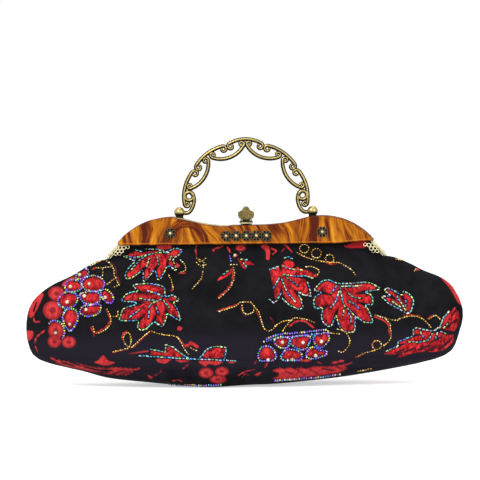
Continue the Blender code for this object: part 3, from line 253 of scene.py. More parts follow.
GOLD = [  # tendrils of gold beads
    [89.4, 266.5, 95.5, 264, 103.7, 260.1, 110.8, 263.7, 113.9, 268.8, 114.5, 276, 119.5, 286.1], [95, 268.3,
    100.6, 268.3, 111.8, 267.2], [102.7, 268.8, 102.7, 277], [106.7, 285.1, 114.9, 279], [113.4, 288.2, 118, 285.1],
    [106.7, 308.6, 110.8, 316.7, 110.8, 323.9, 105.7, 330, 95.5, 334.6, 92.4, 325.9], [112.3, 316.7, 118, 316.7,
    118, 310.6], [111.8, 352.4, 122, 350, 128.2, 348.4, 131.5, 343, 130, 334, 127, 332, 123.1, 337, 124, 343,
    128.2, 347.3, 132.2, 347.3, 142.4, 337.1, 149.6, 331.5], [151, 330.5, 156, 333.5, 165, 335, 175.6, 336.3,
    179.9, 340.6, 184.2, 349.3, 189.1, 355.3], [189.5, 348, 197.5, 351.5], [203, 271, 201.5, 279, 198, 283,
    191.8, 289.7], [196, 257.5, 200, 263, 206.5, 258], [195.6, 262, 200.5, 267, 207, 264.5], [198.5, 259.5,
    204.5, 262.5, 203, 269], [229.8, 264.8, 237.6, 264.8], [233, 266.9, 234.7, 273.4, 233.6, 281, 229.8, 288.6,
    223.3, 295, 217.9, 298.9], [168.5, 275, 171.5, 281, 173, 287.5, 173, 291], [180, 259.5, 186, 266, 186, 271,
    180, 272.8], [218.4, 311.9, 228, 309, 237.4, 305.9, 239.5, 302.5, 250.4, 302.1, 254, 306, 259.1, 312.4,
    262.3, 324.4, 265, 330, 268.8, 331.4, 273, 329.5, 275.3, 326.5, 281.8, 321.6, 292.7, 320], [241.7, 304.8,
    242.8, 312.4, 247.7, 315.1, 253.6, 312.4, 254.2, 307], [296.4, 252.4, 304.2, 257.3, 316.4, 260.9, 328.5, 262.7,
    339.4, 262.7, 347.9, 267.6, 352.7, 271.2, 355.8, 276], [374.5, 315, 385.4, 318.5, 396.3, 321, 402, 318,
    408.4, 316, 418.1, 316.6, 425.4, 320.9, 431.5, 328.1], [427.9, 319.7, 435.8, 314.8, 440.6, 319.7], [385.4, 319,
    390.3, 324, 391.5, 336.6, 389, 342, 383, 346.3], [376, 350, 372.1, 351.2, 364, 353.5, 357.6, 357], [282.4, 331.8,
    287.3, 324.5, 294.5, 317.3, 309, 320.3, 315, 323.3], [327.3, 333, 340.6, 334.2], [336.5, 329, 345.4, 331.5,
    350.3, 339, 349, 346.4, 343, 353, 337.6, 351.2], [305, 267.5, 312, 266.5, 320, 271, 317, 276], [413.5, 272,
    416.5, 268.5], [395, 259.5, 402, 260.5], [357, 371, 364, 370, 372, 368.4], [184, 384.4, 196, 384.8], [284, 380,
    296, 379],
]
GOLD_RINGS = [(304.2, 248.8, 4.5), (316.4, 253.6, 4.8), (329.7, 259, 4.0), (376.9, 345.1, 4.5)]  # centre, radius
RED_LINES = [  # printed strokes: points and half width in pixels
    ([92, 269.5, 96, 267.5], 1.0), ([111, 262, 115.6, 267, 116.4, 276, 120.8, 284], .7), ([105.6, 309.6, 109.6, 317,
    109.4, 323, 104.5, 328.5, 96, 332.8], .8), ([91, 327, 94, 335.6], 1.1), ([112.5, 353.2, 128, 349.6], .6),
    ([122.4, 340, 122, 335, 126.4, 331.4], 1.2), ([133, 348, 143, 338, 150, 332], .7), ([177.5, 336.8, 181.5, 341,
    186, 349], .8), ([196.2, 246, 195.6, 251.5, 196.6, 256], .9), ([213.8, 251, 213, 249.4, 222.4, 246.4], 1.0),
    ([227.6, 247, 230, 252.4], 1.1), ([262.5, 246.5, 267.5, 249, 269, 255, 268, 259], 1.5), ([271.5, 248.6,
    277, 250.5, 273, 254], 1.0), ([284.8, 244.5, 288.6, 248.6, 292, 252.4], 1.1), ([281.6, 252, 284.5, 248], .6),
    ([218, 311, 228, 307.6, 237.5, 304.6], .9), ([232, 268.5, 233, 276, 231.5, 283, 226.5, 290.5, 218.4, 297], .9),
    ([241, 306.8, 242.4, 314, 246.5, 316.4], .6), ([255.5, 309, 260.5, 320, 263, 328], .7), ([289, 327, 295.8, 321.2,
    305.5, 320.8, 313.5, 327.5], 1.2), ([270.5, 318, 274.5, 324], .7), ([374, 317, 385, 320.6, 389, 326, 390, 336],
    1.0), ([301.5, 254.8, 312, 259.5], .7), ([322, 261, 330, 264, 336, 264], .8), ([372.4, 347, 373, 342.6, 376, 341],
    1.1), ([356, 357.6, 361, 355.6], .8), ([404, 315, 412, 314.6, 420, 316.4], .7), ([428, 318.5, 434.5, 315.5], 1.2),
    ([414.5, 270.5, 418, 269.6], 1.2), ([172, 286, 171.5, 291], .9), ([178, 273.6, 186, 272.8], .8), ([188, 345,
    193, 343.5, 196.5, 346.5], 2.6), ([161.5, 369, 160, 373, 154, 376.5, 147.5, 378.5], .6), ([148, 376, 152, 378.6,
    150, 380], .6), ([172, 381.5, 178, 380.2, 182, 382.6], .8), ([238, 376, 246, 371.5, 254.5, 370], .7), ([250, 376,
    245, 374, 242, 378], .6), ([183, 369, 188, 365], .8), ([265, 368, 268, 362.5], .9), ([254, 364.5, 257, 361], .7),
    ([33.3, 315, 34, 322.5, 39.6, 321.6], .9), ([34.3, 343.3, 36, 337, 44.5, 330.6], 1.0), ([35, 347, 37, 352], .8),
    ([332, 363.6, 343.8, 361], 1.3), ([347, 365, 352, 363], .8), ([318, 362.4, 322, 364], .8),
]
PRINTS = [  # flat printed shapes, softer at their edges
    [155, 359.2, 172, 359.8, 168, 362, 165, 364.4, 158, 362.6], [174, 360.2, 192, 361, 181, 363.2], [198, 361,
    224, 361.6, 217, 366, 209, 364.2, 205, 367.2, 200, 364], [226, 362, 236, 362.4, 232, 364], [49.6, 357.6,
    63.9, 360.6, 81.2, 363.7, 94.5, 367.2, 116, 366.8, 140.4, 368.8, 132, 373.5, 126, 377, 112, 376, 95.5, 373.9,
    80, 370.5, 66, 368, 55, 363.5], [93, 362.7, 98, 361, 102.7, 354.8, 108, 361.5, 116, 363, 105, 366.4], [272, 371,
    280, 366.5, 283, 369, 291, 366.2, 293, 369, 302, 366.6, 305, 369, 313, 366, 330, 366, 345, 363.6, 349, 369,
    340, 374, 325, 376.5, 300, 379.5, 283, 382, 272, 379, 279, 375], [61, 285, 67, 279.5, 75, 276, 73.5, 281,
    65, 287.5], [44, 293, 41, 301, 36, 311, 31, 318.5, 27.5, 316, 30, 303, 36.5, 295], [25, 331, 33, 331, 32.4, 338,
    28, 341.5, 25, 338], [440, 273.5, 449, 277, 458, 290, 464, 306, 459, 304, 450, 288, 441, 278], [348, 246.6,
    356, 245, 364, 243, 363, 247, 354, 248.5], [292, 360.4, 314, 359.4, 308, 362.4], [352, 285.2, 366, 284,
    372, 284.8, 366, 288, 356, 287.6], [124, 354.8, 149, 352, 148, 350.6], [151, 246.8, 160, 245, 171.5, 245,
    172, 248.5, 160, 249.6], [260.5, 245, 268.5, 245, 270, 252, 269.5, 259, 266, 260, 266, 251.5], [176, 262,
    180.5, 266.5, 176, 267.5], [262, 372, 258, 377, 254, 375], [178, 326, 182.6, 328, 180.5, 331, 177, 330],
]
PRINT_OVALS = [  # centre and reach
    (56.4, 293.6, 8.2, 7), (52.4, 310.4, 9.6, 9.4), (55.6, 330.6, 7.6, 8.4), (54, 341.8, 6.6, 6.2),
    (68.4, 342.4, 7, 5.8), (206, 373.4, 7.2, 5.2), (222, 372, 6.8, 4.6), (217.9, 380, 8.2, 4.2),
    (240.6, 248, 5.2, 2.9),
]
SLASHES = [  # dark feather strokes inside printed leaves
    [84, 367, 96, 370.5, 112, 371], [97, 373, 108, 372.4], [112, 374.5, 124, 371], [104, 369, 110, 367.6], [120, 376,
    130, 371.5], [62, 363, 74, 366.6], [70, 362.5, 80, 366], [430, 343, 442, 337], [418, 350, 430, 345.5],
    [405, 352.5, 415, 348], [425, 352.5, 436, 347], [440, 349, 449, 342], [396, 353, 404, 349.5], [446, 345,
    452, 338], [285, 371.5, 292, 374.5], [297, 370, 305, 375.5], [310, 370, 318, 374], [322, 369, 334, 371],
    [336, 367, 343, 369.5], [448, 327, 456, 320], [452, 316, 457, 309], [36, 303, 33.5, 311],
]


def points_of(numbers):
    """Points from numbers that are x and y in turn, or from pairs."""
    return np.reshape(np.array(numbers, float), (-1, 2))


def in_model(points, closed=False):
    """A way of pixels in model x and z, back to its start where it is closed."""
    way = np.stack(place(*points_of(points).T), 1)
    return np.vstack([way, way[:1]]) if closed else way


def distance(x, z, points, closed=False):
    best = np.full(x.shape, 1.0)
    way = in_model(points, closed)
    for a, b in zip(way, way[1:]):
        d = b - a
        t = np.clip(((x - a[0]) * d[0] + (z - a[1]) * d[1]) / max(d @ d, 1e-12), 0, 1)
        best = np.minimum(best, np.hypot(x - a[0] - t * d[0], z - a[1] - t * d[1]))
    return best


def inside(x, z, points):
    hit = np.zeros(x.shape, bool)
    way = in_model(points, True)
    for a, b in zip(way, way[1:]):
        if a[1] != b[1]:
            hit ^= ((a[1] > z) != (b[1] > z)) & (x < a[0] + (z - a[1]) * (b[0] - a[0]) / (b[1] - a[1]))
    return hit


def oval(cx, cy, rx, ry, count):
    return [(cx + rx * math.cos(t), cy + ry * math.sin(t)) for t in np.linspace(0, math.tau, count + 1)[:-1]]


def rounded(points, closed=True, times=1):
    """Cuts the corners of an outline a little, as the worked edge does."""
    for _ in range(times):
        p = points_of(points)
        q = np.roll(p, -1, 0) if closed else p[1:]
        r = p if closed else p[:-1]
        cut = np.stack([r * .82 + q * .18, r * .18 + q * .82], 1).reshape(-1, 2)
        points = cut if closed else np.vstack([p[:1], cut, p[-1:]])
    return points


def signed_area(p):
    """Twice the area of an outline, with the sign of the way it turns."""
    return np.sum(p[:, 0] * np.roll(p[:, 1], -1) - np.roll(p[:, 0], -1) * p[:, 1])


def feathered(points, step=4.6, deep=2.3):
    """An outline with slanted nicks all along it, as the printed leaves have."""
    p, out = points_of(points), []
    for a, b in zip(p, np.roll(p, -1, 0)):
        d = b - a
        length = np.hypot(*d)
        inward = np.array((-d[1], d[0])) * np.sign(signed_area(p)) / length
        count = max(1, round(length / step))
        for k in range(count):
            out += [a + d * k / count, a + d * (k + .38) / count + inward * min(deep, length * .4)]
    return out


def notched(outline, root):
    """A leaf's outline with its inner corners drawn towards its root, and dark wedges that go on from them."""
    p = points_of(outline)
    deeper, wedges = p.copy(), []
    for i, here in enumerate(p):
        a, b = here - p[i - 1], p[(i + 1) % len(p)] - here
        turn = math.degrees(math.atan2(a[0] * b[1] - a[1] * b[0], a @ b)) * np.sign(signed_area(p))
        if turn < -24:
            way = np.array(root, float) - here
            size = max(np.hypot(*way), 1e-6)
            deeper[i] = here + way * min(.26, 3.6 / size)
            wedges.append((here, here + way * min(.62, 9.5 / size)))
    return deeper, wedges


for name, root in ROOTS.items():
    if name not in PART_BEADED:
        LEAVES[name] = (notched(LEAVES[name][0], root)[0], LEAVES[name][1])


# how far red keeps off the veins, half the width of a dark slash, and the soft edge of both, in metres
VEIN_GAP, SLASH_HALF, CUT_EDGE = .0010, .0008, .0004


def pattern(x, z):
    """For points of the plane: how far they lie inside red (in edge widths), padding height, how plain the print is
    there, and how dark: painted shade on the padded red, and the darker rims and dots printed in the ovals."""
    red = np.full(x.shape, -8.0)
    pad, plain, shade_and_print_dark = (np.zeros(x.shape) for _ in range(3))
    near, cut, dark = (np.full(x.shape, 1.0) for _ in range(3))

    def window(points, reach=.004):
        px, pz = in_model(points).T
        return np.where((x > px.min() - reach) & (x < px.max() + reach)
                        & (z > pz.min() - reach) & (z < pz.max() + reach))[0]

    def put(index, depth, edge, height, is_plain):
        value = np.clip(depth / edge, -8, 8)
        better = value > red[index]
        red[index] = np.maximum(red[index], value)
        pad[index] = np.maximum(pad[index], height * smooth(depth / .0032))
        plain[index] = np.where(better, is_plain, plain[index])

    def shape(points, gap=0, edge=.0003, height=.0002, is_plain=0):
        """Red inside an outline: its gap to the outline, its soft edge, padding height and plainness."""
        index = window(points)
        d = distance(x[index], z[index], points, True)
        put(index, np.where(inside(x[index], z[index], points), d, -d) - gap, edge, height, is_plain)

    def approach(field, points):
        index = window(points)
        field[index] = np.minimum(field[index], distance(x[index], z[index], points))

    def reach_of(cx, cy, rx, ry):
        sx, sz = place(cx, cy)
        return np.hypot((x - sx) / (rx * PX), (z - sz) / (ry * PX))

    for name, (outline, _) in LEAVES.items():
        shape(rounded(outline), gap=.0013, height=.0014)
        for wedge in notched(outline, ROOTS[name])[1] if name in ROOTS else []:
            index = window(wedge)
            a, b = in_model(wedge)
            d = b - a
            t = np.clip(((x[index] - a[0]) * d[0] + (z[index] - a[1]) * d[1]) / (d @ d), 0, 1)
            away = np.hypot(x[index] - a[0] - t * d[0], z[index] - a[1] - t * d[1])
            cut[index] = np.minimum(cut[index], away - .0015 * (1 - t) - .0002)
    for outline, _ in SPRIGS:
        shape(rounded(outline), gap=.0002, height=.0008)
    for _, veins in [*LEAVES.values(), *SPRIGS]:
        for vein in veins:
            approach(near, vein)
    for outline, _ in GRAPES:
        shape(rounded(outline), gap=.0014, height=.0017, is_plain=.15)
    red = np.minimum(red, np.minimum((near - VEIN_GAP) / CUT_EDGE, cut / CUT_EDGE))
    pad *= .35 + .65 * smooth(np.minimum(near, cut + CUT_EDGE) / .0022)
    for points in PRINTS:
        shape(rounded(feathered(points) if len(points) > 20 else points), edge=.0005, is_plain=1)
    for place_and_reach in PRINT_OVALS:
        shape(oval(*place_and_reach, 20), edge=.0007, height=.0004, is_plain=1)
    for points, half in RED_LINES:
        index = window(points, .005)
        thick = half * PX * (.66 + .34 * np.sin(x[index] * 820 + z[index] * 1130))
        put(index, thick - distance(x[index], z[index], rounded(points, False, 2)), .0003, .0002, .6)
    for points in SLASHES:
        approach(dark, points)
    red = np.minimum(red, (dark - SLASH_HALF) / CUT_EDGE)
    # painted shade: darker patches on the padded red where it folds and turns from the light
    for *place_and_reach, strength in SHADES:
        shade_and_print_dark = np.maximum(shade_and_print_dark, strength * smooth((1.25 - reach_of(*place_and_reach)) / .8))
    # the printed ovals' darker rims and centre dots, which are part of the print
    for place_and_reach in PRINT_OVALS:
        reach = reach_of(*place_and_reach)
        edge = .55 * smooth((reach - .55) / .4) * (reach < 1.2)
        shade_and_print_dark = np.maximum(shade_and_print_dark, np.maximum(edge, .75 * smooth((.30 - np.abs(reach - .1)) / .12)))
    return np.clip(red, -8, 8), pad, plain, shade_and_print_dark


# Materials
WHITE, BLACK = (1, 1, 1), (0, 0, 0)
# the cloth's padded red from its dark to its light threads, printed red and black, each with its place on a ramp
PADDED_REDS = (.31, (.13, .003, .006)), (.47, (.48, .013, .018)), (.63, (.84, .045, .048))
PRINTED_REDS = (.3, (.36, .014, .020)), (.6, (.70, .050, .054))
CLOTH_BLACKS = (.3, (.0040, .0037, .0048)), (.7, (.0112, .0106, .0132))
# painted shade in the padded red's creases and patches; in prints, their printed dark rims and dots, and painted
# shade
CREASE_SHADE_RED, PAINTED_SHADE_RED, PRINT_DARK_AND_SHADE = (.11, .004, .008), (.12, .004, .008), (.14, .008, .012)
# painted sheen: the lighter, bluer black of a band about the seam
SEAM_PAINTED_SHEEN = (.0150, .0125, .0205)


class Nodes:
    """The node tree of a material or of the world, with short ways to add nodes to it."""

    def __init__(self, owner):
        owner.use_nodes = True
        self.owner, self.tree = owner, owner.node_tree

    def give(self, socket, source):
        """Links an output to a socket, or sets the socket's value."""
        if isinstance(source, bpy.types.NodeSocket):
            self.tree.links.new(source, socket)
        else:
            socket.default_value = (*source, 1) if socket.type == "RGBA" else source

    def add(self, kind, *sources, **settings):
        """A node: sources go to its first inputs, settings to the inputs or properties of their names."""
        node = self.tree.nodes.new("ShaderNode" + kind)
        for key, value in settings.items():
            if key in node.inputs:
                self.give(node.inputs[key], value)
            else:
                setattr(node, key, value)
        for socket, source in zip(node.inputs, sources):
            self.give(socket, source)
        return node

    def shade(self, **inputs):
        """Fills inputs of the shader and returns the material. An underscore stands for a space of a name."""
        for key, source in inputs.items():
            self.give(self.tree.nodes["Principled BSDF"].inputs[key.replace("_", " ")], source)
        return self.owner

    def math(self, operation, *sources, clamp=False):
        return self.add("Math", *sources, operation=operation, use_clamp=clamp).outputs[0]

    plus, minus, times = (partialmethod(math, "ADD"), partialmethod(math, "SUBTRACT"),
                          partialmethod(math, "MULTIPLY"))

    def fit(self, value, factor, offset, clamp=False):
        """value times factor plus offset."""
        return self.math("MULTIPLY_ADD", value, factor, offset, clamp=clamp)

    def centred(self, value, size):
        """A value from 0 to 1, spread over size about zero."""
        return self.fit(value, size, -size / 2)

    def apart(self, vector):
        return self.add("SeparateXYZ", vector).outputs

    def vector(self, x, y, z):
        return self.add("CombineXYZ", x, y, z).outputs[0]

    def coords(self, scale=(1, 1, 1)):
        return self.add("Mapping", self.add("TexCoord").outputs["Object"], Scale=scale).outputs[0]

    def attribute(self, name, output="Fac"):
        return self.add("Attribute", attribute_name=name).outputs[output]

    def noise(self, vector, scale, detail=3.0, roughness=.5, distortion=0.0):
        return self.add("TexNoise", vector, Scale=scale, Detail=detail, Roughness=roughness,
                        Distortion=distortion).outputs["Fac"]

    def wave(self, vector, direction, scale, distortion, detail):
        return self.add("TexWave", vector, wave_type="BANDS", bands_direction=direction, Scale=scale,
                        Distortion=distortion, Detail=detail).outputs["Fac"]

    def ramp(self, source, *stops, mode="LINEAR"):
        node = self.add("ValToRGB", source)
        node.color_ramp.interpolation = mode
        while len(node.color_ramp.elements) < len(stops):
            node.color_ramp.elements.new(.5)
        for element, (at, colour) in zip(node.color_ramp.elements, stops):
            element.position = at
            element.color = (*colour, 1)
        return node.outputs["Color"]

    def mix(self, factor, a, b, blend="MIX", data="RGBA"):
        first, result = {"RGBA": (6, 2), "FLOAT": (2, 0)}[data]  # where the node keeps sockets of this kind
        node = self.add("Mix", factor, data_type=data, blend_type=blend)
        self.give(node.inputs[first], a)
        self.give(node.inputs[first + 1], b)
        return node.outputs[result]

    def bump(self, height, strength, distance_m):
        self.shade(Normal=self.add("Bump", Height=height, Strength=strength, Distance=distance_m).outputs[0])

    def seen(self):
        """1 for what the camera sees, straight or in a gloss, and 0 for the light that falls on things."""
        path = self.add("LightPath").outputs
        return self.math("MAXIMUM", path["Is Camera Ray"], path["Is Glossy Ray"])


def new_material(name):
    return Nodes(bpy.data.materials.new(name))


def cloth_material():
    n = new_material("vine_cloth")
    red, plain, shade_and_print_dark, pad = (n.attribute(name) for name in ("red", "plain", "shade_and_print_dark", "pad"))
    mask = n.fit(red, .5, .5, clamp=True)
    spot = n.coords()
    cloudy = n.noise(spot, 55, 4, .6, .4)
    streaks = n.noise(n.coords((1, 1, .45)), 260, 4, .65, 1.2)
    creases = n.noise(n.coords((1.4, 1, .8)), 120, 3, .5, 2.0)
    # painted shade: the padded red turns dark in the creases that also bump it, and in its shaded patches
    worked = n.mix(n.ramp(creases, (.36, WHITE), (.47, BLACK)), n.ramp(streaks, *PADDED_REDS), CREASE_SHADE_RED)
    worked = n.mix(shade_and_print_dark, worked, PAINTED_SHADE_RED)
    red_colour = n.mix(plain, worked, n.ramp(streaks, *PRINTED_REDS))
    # printed red is darker in the ovals' printed rims and dots, and with painted shade where shaded patches fall on
    # it
    red_colour = n.mix(n.times(shade_and_print_dark, plain), red_colour, PRINT_DARK_AND_SHADE)
    # painted sheen: by height, the black turns lighter and bluer in a band about the seam
    low = n.fit(cloudy, .12, n.times(n.apart(spot)["Z"], 5))
    sheen = n.ramp(low, (.08, BLACK), (.16, WHITE), (.24, WHITE), (.34, BLACK), mode="EASE")
    black = n.mix(sheen, n.ramp(cloudy, *CLOTH_BLACKS), SEAM_PAINTED_SHEEN)
    rib, threads = n.wave(spot, "Z", 330, 1.2, 2), n.wave(spot, "X", 300, 1.0, 1)
    weave = n.plus(rib, n.times(threads, .6))
    n.bump(n.plus(n.times(weave, .35), n.times(creases, n.times(pad, 2.2))), .55, .0006)
    return n.shade(Base_Color=n.mix(mask, black, red_colour), Roughness=n.fit(mask, -.18, .80),
                   Specular_IOR_Level=.06)


def plain_cloth(name, colour, scale, sheen=.2):
    n = new_material(name)
    cloud = n.noise(n.coords(), 70, 3)
    n.bump(n.wave(n.coords(), "DIAGONAL", scale, 1.5, 2), .3, .0003)
    return n.shade(Base_Color=n.ramp(cloud, (.3, tuple(c * .7 for c in colour)), (.7, colour)), Roughness=.7,
                   Sheen_Weight=sheen, Specular_IOR_Level=.5 * sheen)


def bead_material(name, roughness, metallic, coat):
    n = new_material(name)
    cloud = n.noise(n.coords(), 900, 2)
    shade = n.ramp(cloud, (.35, (.62, .66, .74)), (.65, WHITE))
    n.bump(cloud, .1, .0002)
    return n.shade(Base_Color=n.mix(1.0, n.attribute("tint", "Color"), shade, "MULTIPLY"), Roughness=roughness,
                   Metallic=metallic, Coat_Weight=coat, Coat_Roughness=.08)


def brass_material(name, bright, dark, roughness, dark_span, grain=.1, speckle=700, by="facing", tilt=.22):
    """Aged brass. The span after roughness is where its dark begins and ends. By 'facing', the dark is
    painted shade on the sides that turn from the front and back, more underneath and less on top by tilt; by
    'height', painted shade on the undersides; grit breaks both up a little. By 'grit', it is patina that follows
    the grit alone."""
    n = new_material(name)
    spot = n.coords()
    worn, grit = n.noise(spot, 90, 4, .6), n.noise(spot, speckle, 3, .6)
    base = n.mix(n.ramp(worn, (.35, BLACK), (.7, WHITE)), bright, tuple(c * .72 for c in bright))
    normal = n.apart(n.add("TexCoord").outputs["Normal"])
    if by == "grit":
        way = grit
    elif by == "height":
        way = n.fit(normal["Z"], .5, .5)
    else:
        way = n.fit(normal["Z"], tilt, n.math("ABSOLUTE", normal["Y"]))
    # painted shade in the facing and height modes, patina in the grit mode
    shade_and_patina = n.ramp(n.fit(n.minus(grit, .5), .3, way), (dark_span[0], WHITE), (dark_span[1], BLACK))
    n.bump(grit, grain, .0003)
    return n.shade(Base_Color=n.mix(shade_and_patina, base, dark), Metallic=n.minus(1.0, shade_and_patina),
                   Roughness=n.fit(grit, .3, roughness - .15), Specular_IOR_Level=.02, Specular_Tint=bright)


# where the resin's arched swirl has its centre, in model x and z, and its radius
SWIRL = tuple(float(v) for v in from_plane(*place(186.6, 245.5), -PLATE_FACE))
SWIRL_RADIUS = .0166
# how the resin's streaks lean along the plate: place in pixels of the photograph, and lean (more is to the left)
LEANS = [
    120, .22, 136, .15, 150, -.1, 164, -.35, 178, -.1, 192, .28, 206, .62, 220, .95, 235, .8, 250, .45, 264, .55,
    277, .75, 290, .3, 303, -.08, 318, -.05, 333, .15, 350, .5, 366, .4
]
# the plate's broad light and dark streaks: place in pixels, and how much lighter
STREAKS = [
    120, .01, 136, .015, 142, -.026, 147, -.02, 151, .025, 159, -.015, 172, .005, 198, 0, 212, .035, 232, .01,
    246, -.02, 266, 0, 276, .02, 283, -.055, 288, .045, 296, -.035, 302, .03, 308, -.02, 313, -.052, 317, -.02,
    321, .03, 340, .03, 347, -.025, 352, .045, 362, .01
]
STREAK_SPAN = 260  # pixels that the two tables are spread over
LEAN_FROM = .134  # the height at which a streak stands in its place
BEND, WISP_BEND, SWIRL_BEND = .0052, .0005, .0036  # how far streaks and swirl wander, in metres
EDGE_HIGHLIGHT_AMBER, RIM_SHADE_AMBER = (.78, .27, .018), (.085, .010, .005)  # painted highlight along the lower edge, and painted shade on the upright rim
RESIN_TONES = [
    (.425, (.085, .012, .004)), (.462, (.175, .032, .004)), (.496, (.295, .076, .006)), (.532, (.42, .13, .006)),
    (.58, (.54, .19, .009)), (.628, (.7, .3, .022))
]


def resin_material():
    """Amber-like resin: sharp, nearly upright streaks that lean both ways, and one arched swirl."""
    n = new_material("amber_resin")
    where = n.apart(n.add("TexCoord").outputs["Object"])
    x, z = where["X"], where["Z"]

    def table_at(reach, table, size):
        """The value that a table gives along the plate, smoothly."""
        stops = [((px - MIDDLE_PX) / STREAK_SPAN + .5, (.5 + value / size,) * 3) for px, value in points_of(table)]
        share = n.fit(reach, 1 / (STREAK_SPAN * PX), .5)
        return n.centred(n.ramp(share, *stops, mode="EASE"), size)

    soft_bend, wisp = n.noise(n.vector(x, .7, z), 70, 2), n.noise(n.vector(x, 3.0, z), 300, 2)
    bent = n.fit(n.minus(z, LEAN_FROM), table_at(x, LEANS, 4.0), x)
    bent = n.plus(n.plus(bent, n.centred(soft_bend, BEND)), n.centred(wisp, WISP_BEND))
    along = n.times(z, .14)
    broad = n.noise(n.vector(bent, 0.0, along), 110, 2, .5)
    middle = n.noise(n.vector(bent, 2.0, along), 330, 2, .6)
    fine = n.noise(n.vector(bent, 4.0, n.times(z, .12)), 900, 3, .65)
    thread = n.math("ABSOLUTE", n.minus(n.noise(n.vector(bent, 6.0, along), 95, 1), .5))
    tone = n.fit(fine, .14, n.fit(middle, .34, n.times(broad, .52)))
    tone = n.plus(tone, table_at(bent, STREAKS, .25))
    tone = n.fit(n.fit(thread, -70.0, 1.0, clamp=True), .045, tone)
    dx, dz = n.minus(x, SWIRL[0]), n.fit(z, .86, -.86 * SWIRL[1])
    radius = n.math("POWER", n.plus(n.times(dx, dx), n.times(dz, dz)), .5)
    radius = n.plus(radius, n.centred(soft_bend, SWIRL_BEND))
    round_streaks = n.noise(n.vector(radius, 8.0, n.times(dx, .12)), 620, 2, .6)
    off_ring = n.math("ABSOLUTE", n.minus(radius, SWIRL_RADIUS))
    is_front = n.math("GREATER_THAN", 0.0, where["Y"])
    band = n.times(is_front, n.fit(off_ring, -560.0, 2.3, clamp=True))
    tone = n.mix(n.times(band, .94), tone, n.fit(round_streaks, .38, .255), data="FLOAT")
    # painted highlight near the plate's lower edge, then painted shade on its upright rim
    colour = n.mix(n.times(n.attribute("edge"), .55), n.ramp(tone, *RESIN_TONES), EDGE_HIGHLIGHT_AMBER)
    n.bump(fine, .03, .0003)
    return n.shade(Base_Color=n.mix(n.attribute("rim_shade"), colour, RIM_SHADE_AMBER), Roughness=.28,
                   Specular_IOR_Level=.08, Subsurface_Weight=.03, Subsurface_Radius=(.003, .0015, .0005),
                   Subsurface_Scale=1.0)


# painted shade: the handle, flower rings and studs darken by facing, the post balls by height; the other brasses
# darken by grit, as patina
HANDLE_BRASS = brass_material("handle_brass", (.50, .39, .145), (.011, .009, .006), .36, (.80, 1.0), tilt=.46)
# painted shade: the near-black backing behind the handle's strokes
HANDLE_SHADE = brass_material("handle_painted_shade", (.022, .018, .010), (.008, .007, .004), .6, (.4, .6), .2, 1200, "grit")
TAB_BRASS = brass_material("tab_brass", (.29, .225, .085), (.085, .062, .022), .6, (.42, .58), .7, 1500, "grit")
POST_BRASS = brass_material("post_brass", (.56, .45, .19), (.016, .013, .007), .30, (.36, .56), by="height")
PALE_GILT = brass_material("pale_gilt_worn", (.80, .72, .45), (.34, .27, .12), .38, (.28, .48), .15, 1200, "grit")
FLOWER_METAL = brass_material("flower_metal", (.54, .50, .36), (.14, .125, .085), .40, (.28, .62), .2, 1600)
FLOWER_DARK = brass_material("flower_ground", (.024, .020, .014), (.008, .007, .006), .6, (.35, .6), .3, 1600, "grit")
STUD_BRASS = brass_material("stud_brass", (.66, .50, .24), (.22, .15, .06), .28, (.45, .75), .05, 1500)
DARK_BRASS = brass_material("dark_brass", (.060, .046, .020), (.02, .016, .009), .5, (.4, .6), .3, 1200, "grit")
RESIN = resin_material()
CLOTH = cloth_material()
LINING = plain_cloth("lining_weave", (.020, .020, .026), 900)
ARM_CLOTH = plain_cloth("arm_cloth_weave", (.0085, .0082, .0105), 900, 0.0)
ARM_PRINT = plain_cloth("arm_cloth_print", (.34, .016, .020), 900, 0.0)
CORD = plain_cloth("cord_weave", (.45, .40, .32), 1200)
BEAD_GLASS = {"seed": bead_material("seed_glass", .16, .25, .8), "bugle": bead_material("bugle_glass", .14, .30, .8),
              "gold": bead_material("gold_glass", .22, .70, .4), "pearl": bead_material("pearl_glass", .25, .15, .8)}


# Mesh helpers
def mesh_object(name, verts, faces, material):
    mesh = bpy.data.meshes.new(name)
    mesh.from_pydata([tuple(v) for v in verts], [], [tuple(f) for f in faces])
    mesh.update()
    obj = bpy.data.objects.new(name, mesh)
    bpy.context.scene.collection.objects.link(obj)
    mesh.materials.append(material)
    mesh.shade_smooth()
    return obj


def sharp(obj, degrees):
    obj.data.set_sharp_from_angle(angle=math.radians(degrees))


def float_attribute(obj, name, values):
    obj.data.attributes.new(name, "FLOAT", "POINT").data.foreach_set("value", np.asarray(values, np.float32))


def grid_faces(rows, columns, flip):
    i = np.arange(rows - 1)[:, None] * columns + np.arange(columns - 1)[None, :]
    quads = np.stack([i, i + 1, i + 1 + columns, i + columns], -1).reshape(-1, 4)
    return quads[:, ::-1] if flip else quads


def ring_faces(rings, around, ends="both"):
    """Faces between rings of points. Both ends are closed, the first alone, or the last ring joins the first."""
    quads = rings if ends == "joined" else rings - 1
    faces = [(i * around + k, i * around + m, j * around + m, j * around + k)
             for i, j in ((i, (i + 1) % rings) for i in range(quads))
             for k, m in ((k, (k + 1) % around) for k in range(around))]
    if ends != "joined":
        faces.append(tuple(range(around - 1, -1, -1)))
    if ends == "both":
        faces.append(tuple(range((rings - 1) * around, rings * around)))
    return faces


def circle(count):
    """Cosine and sine of even steps round a circle."""
    return [(math.cos(t), math.sin(t)) for t in np.arange(count) * math.tau / count]


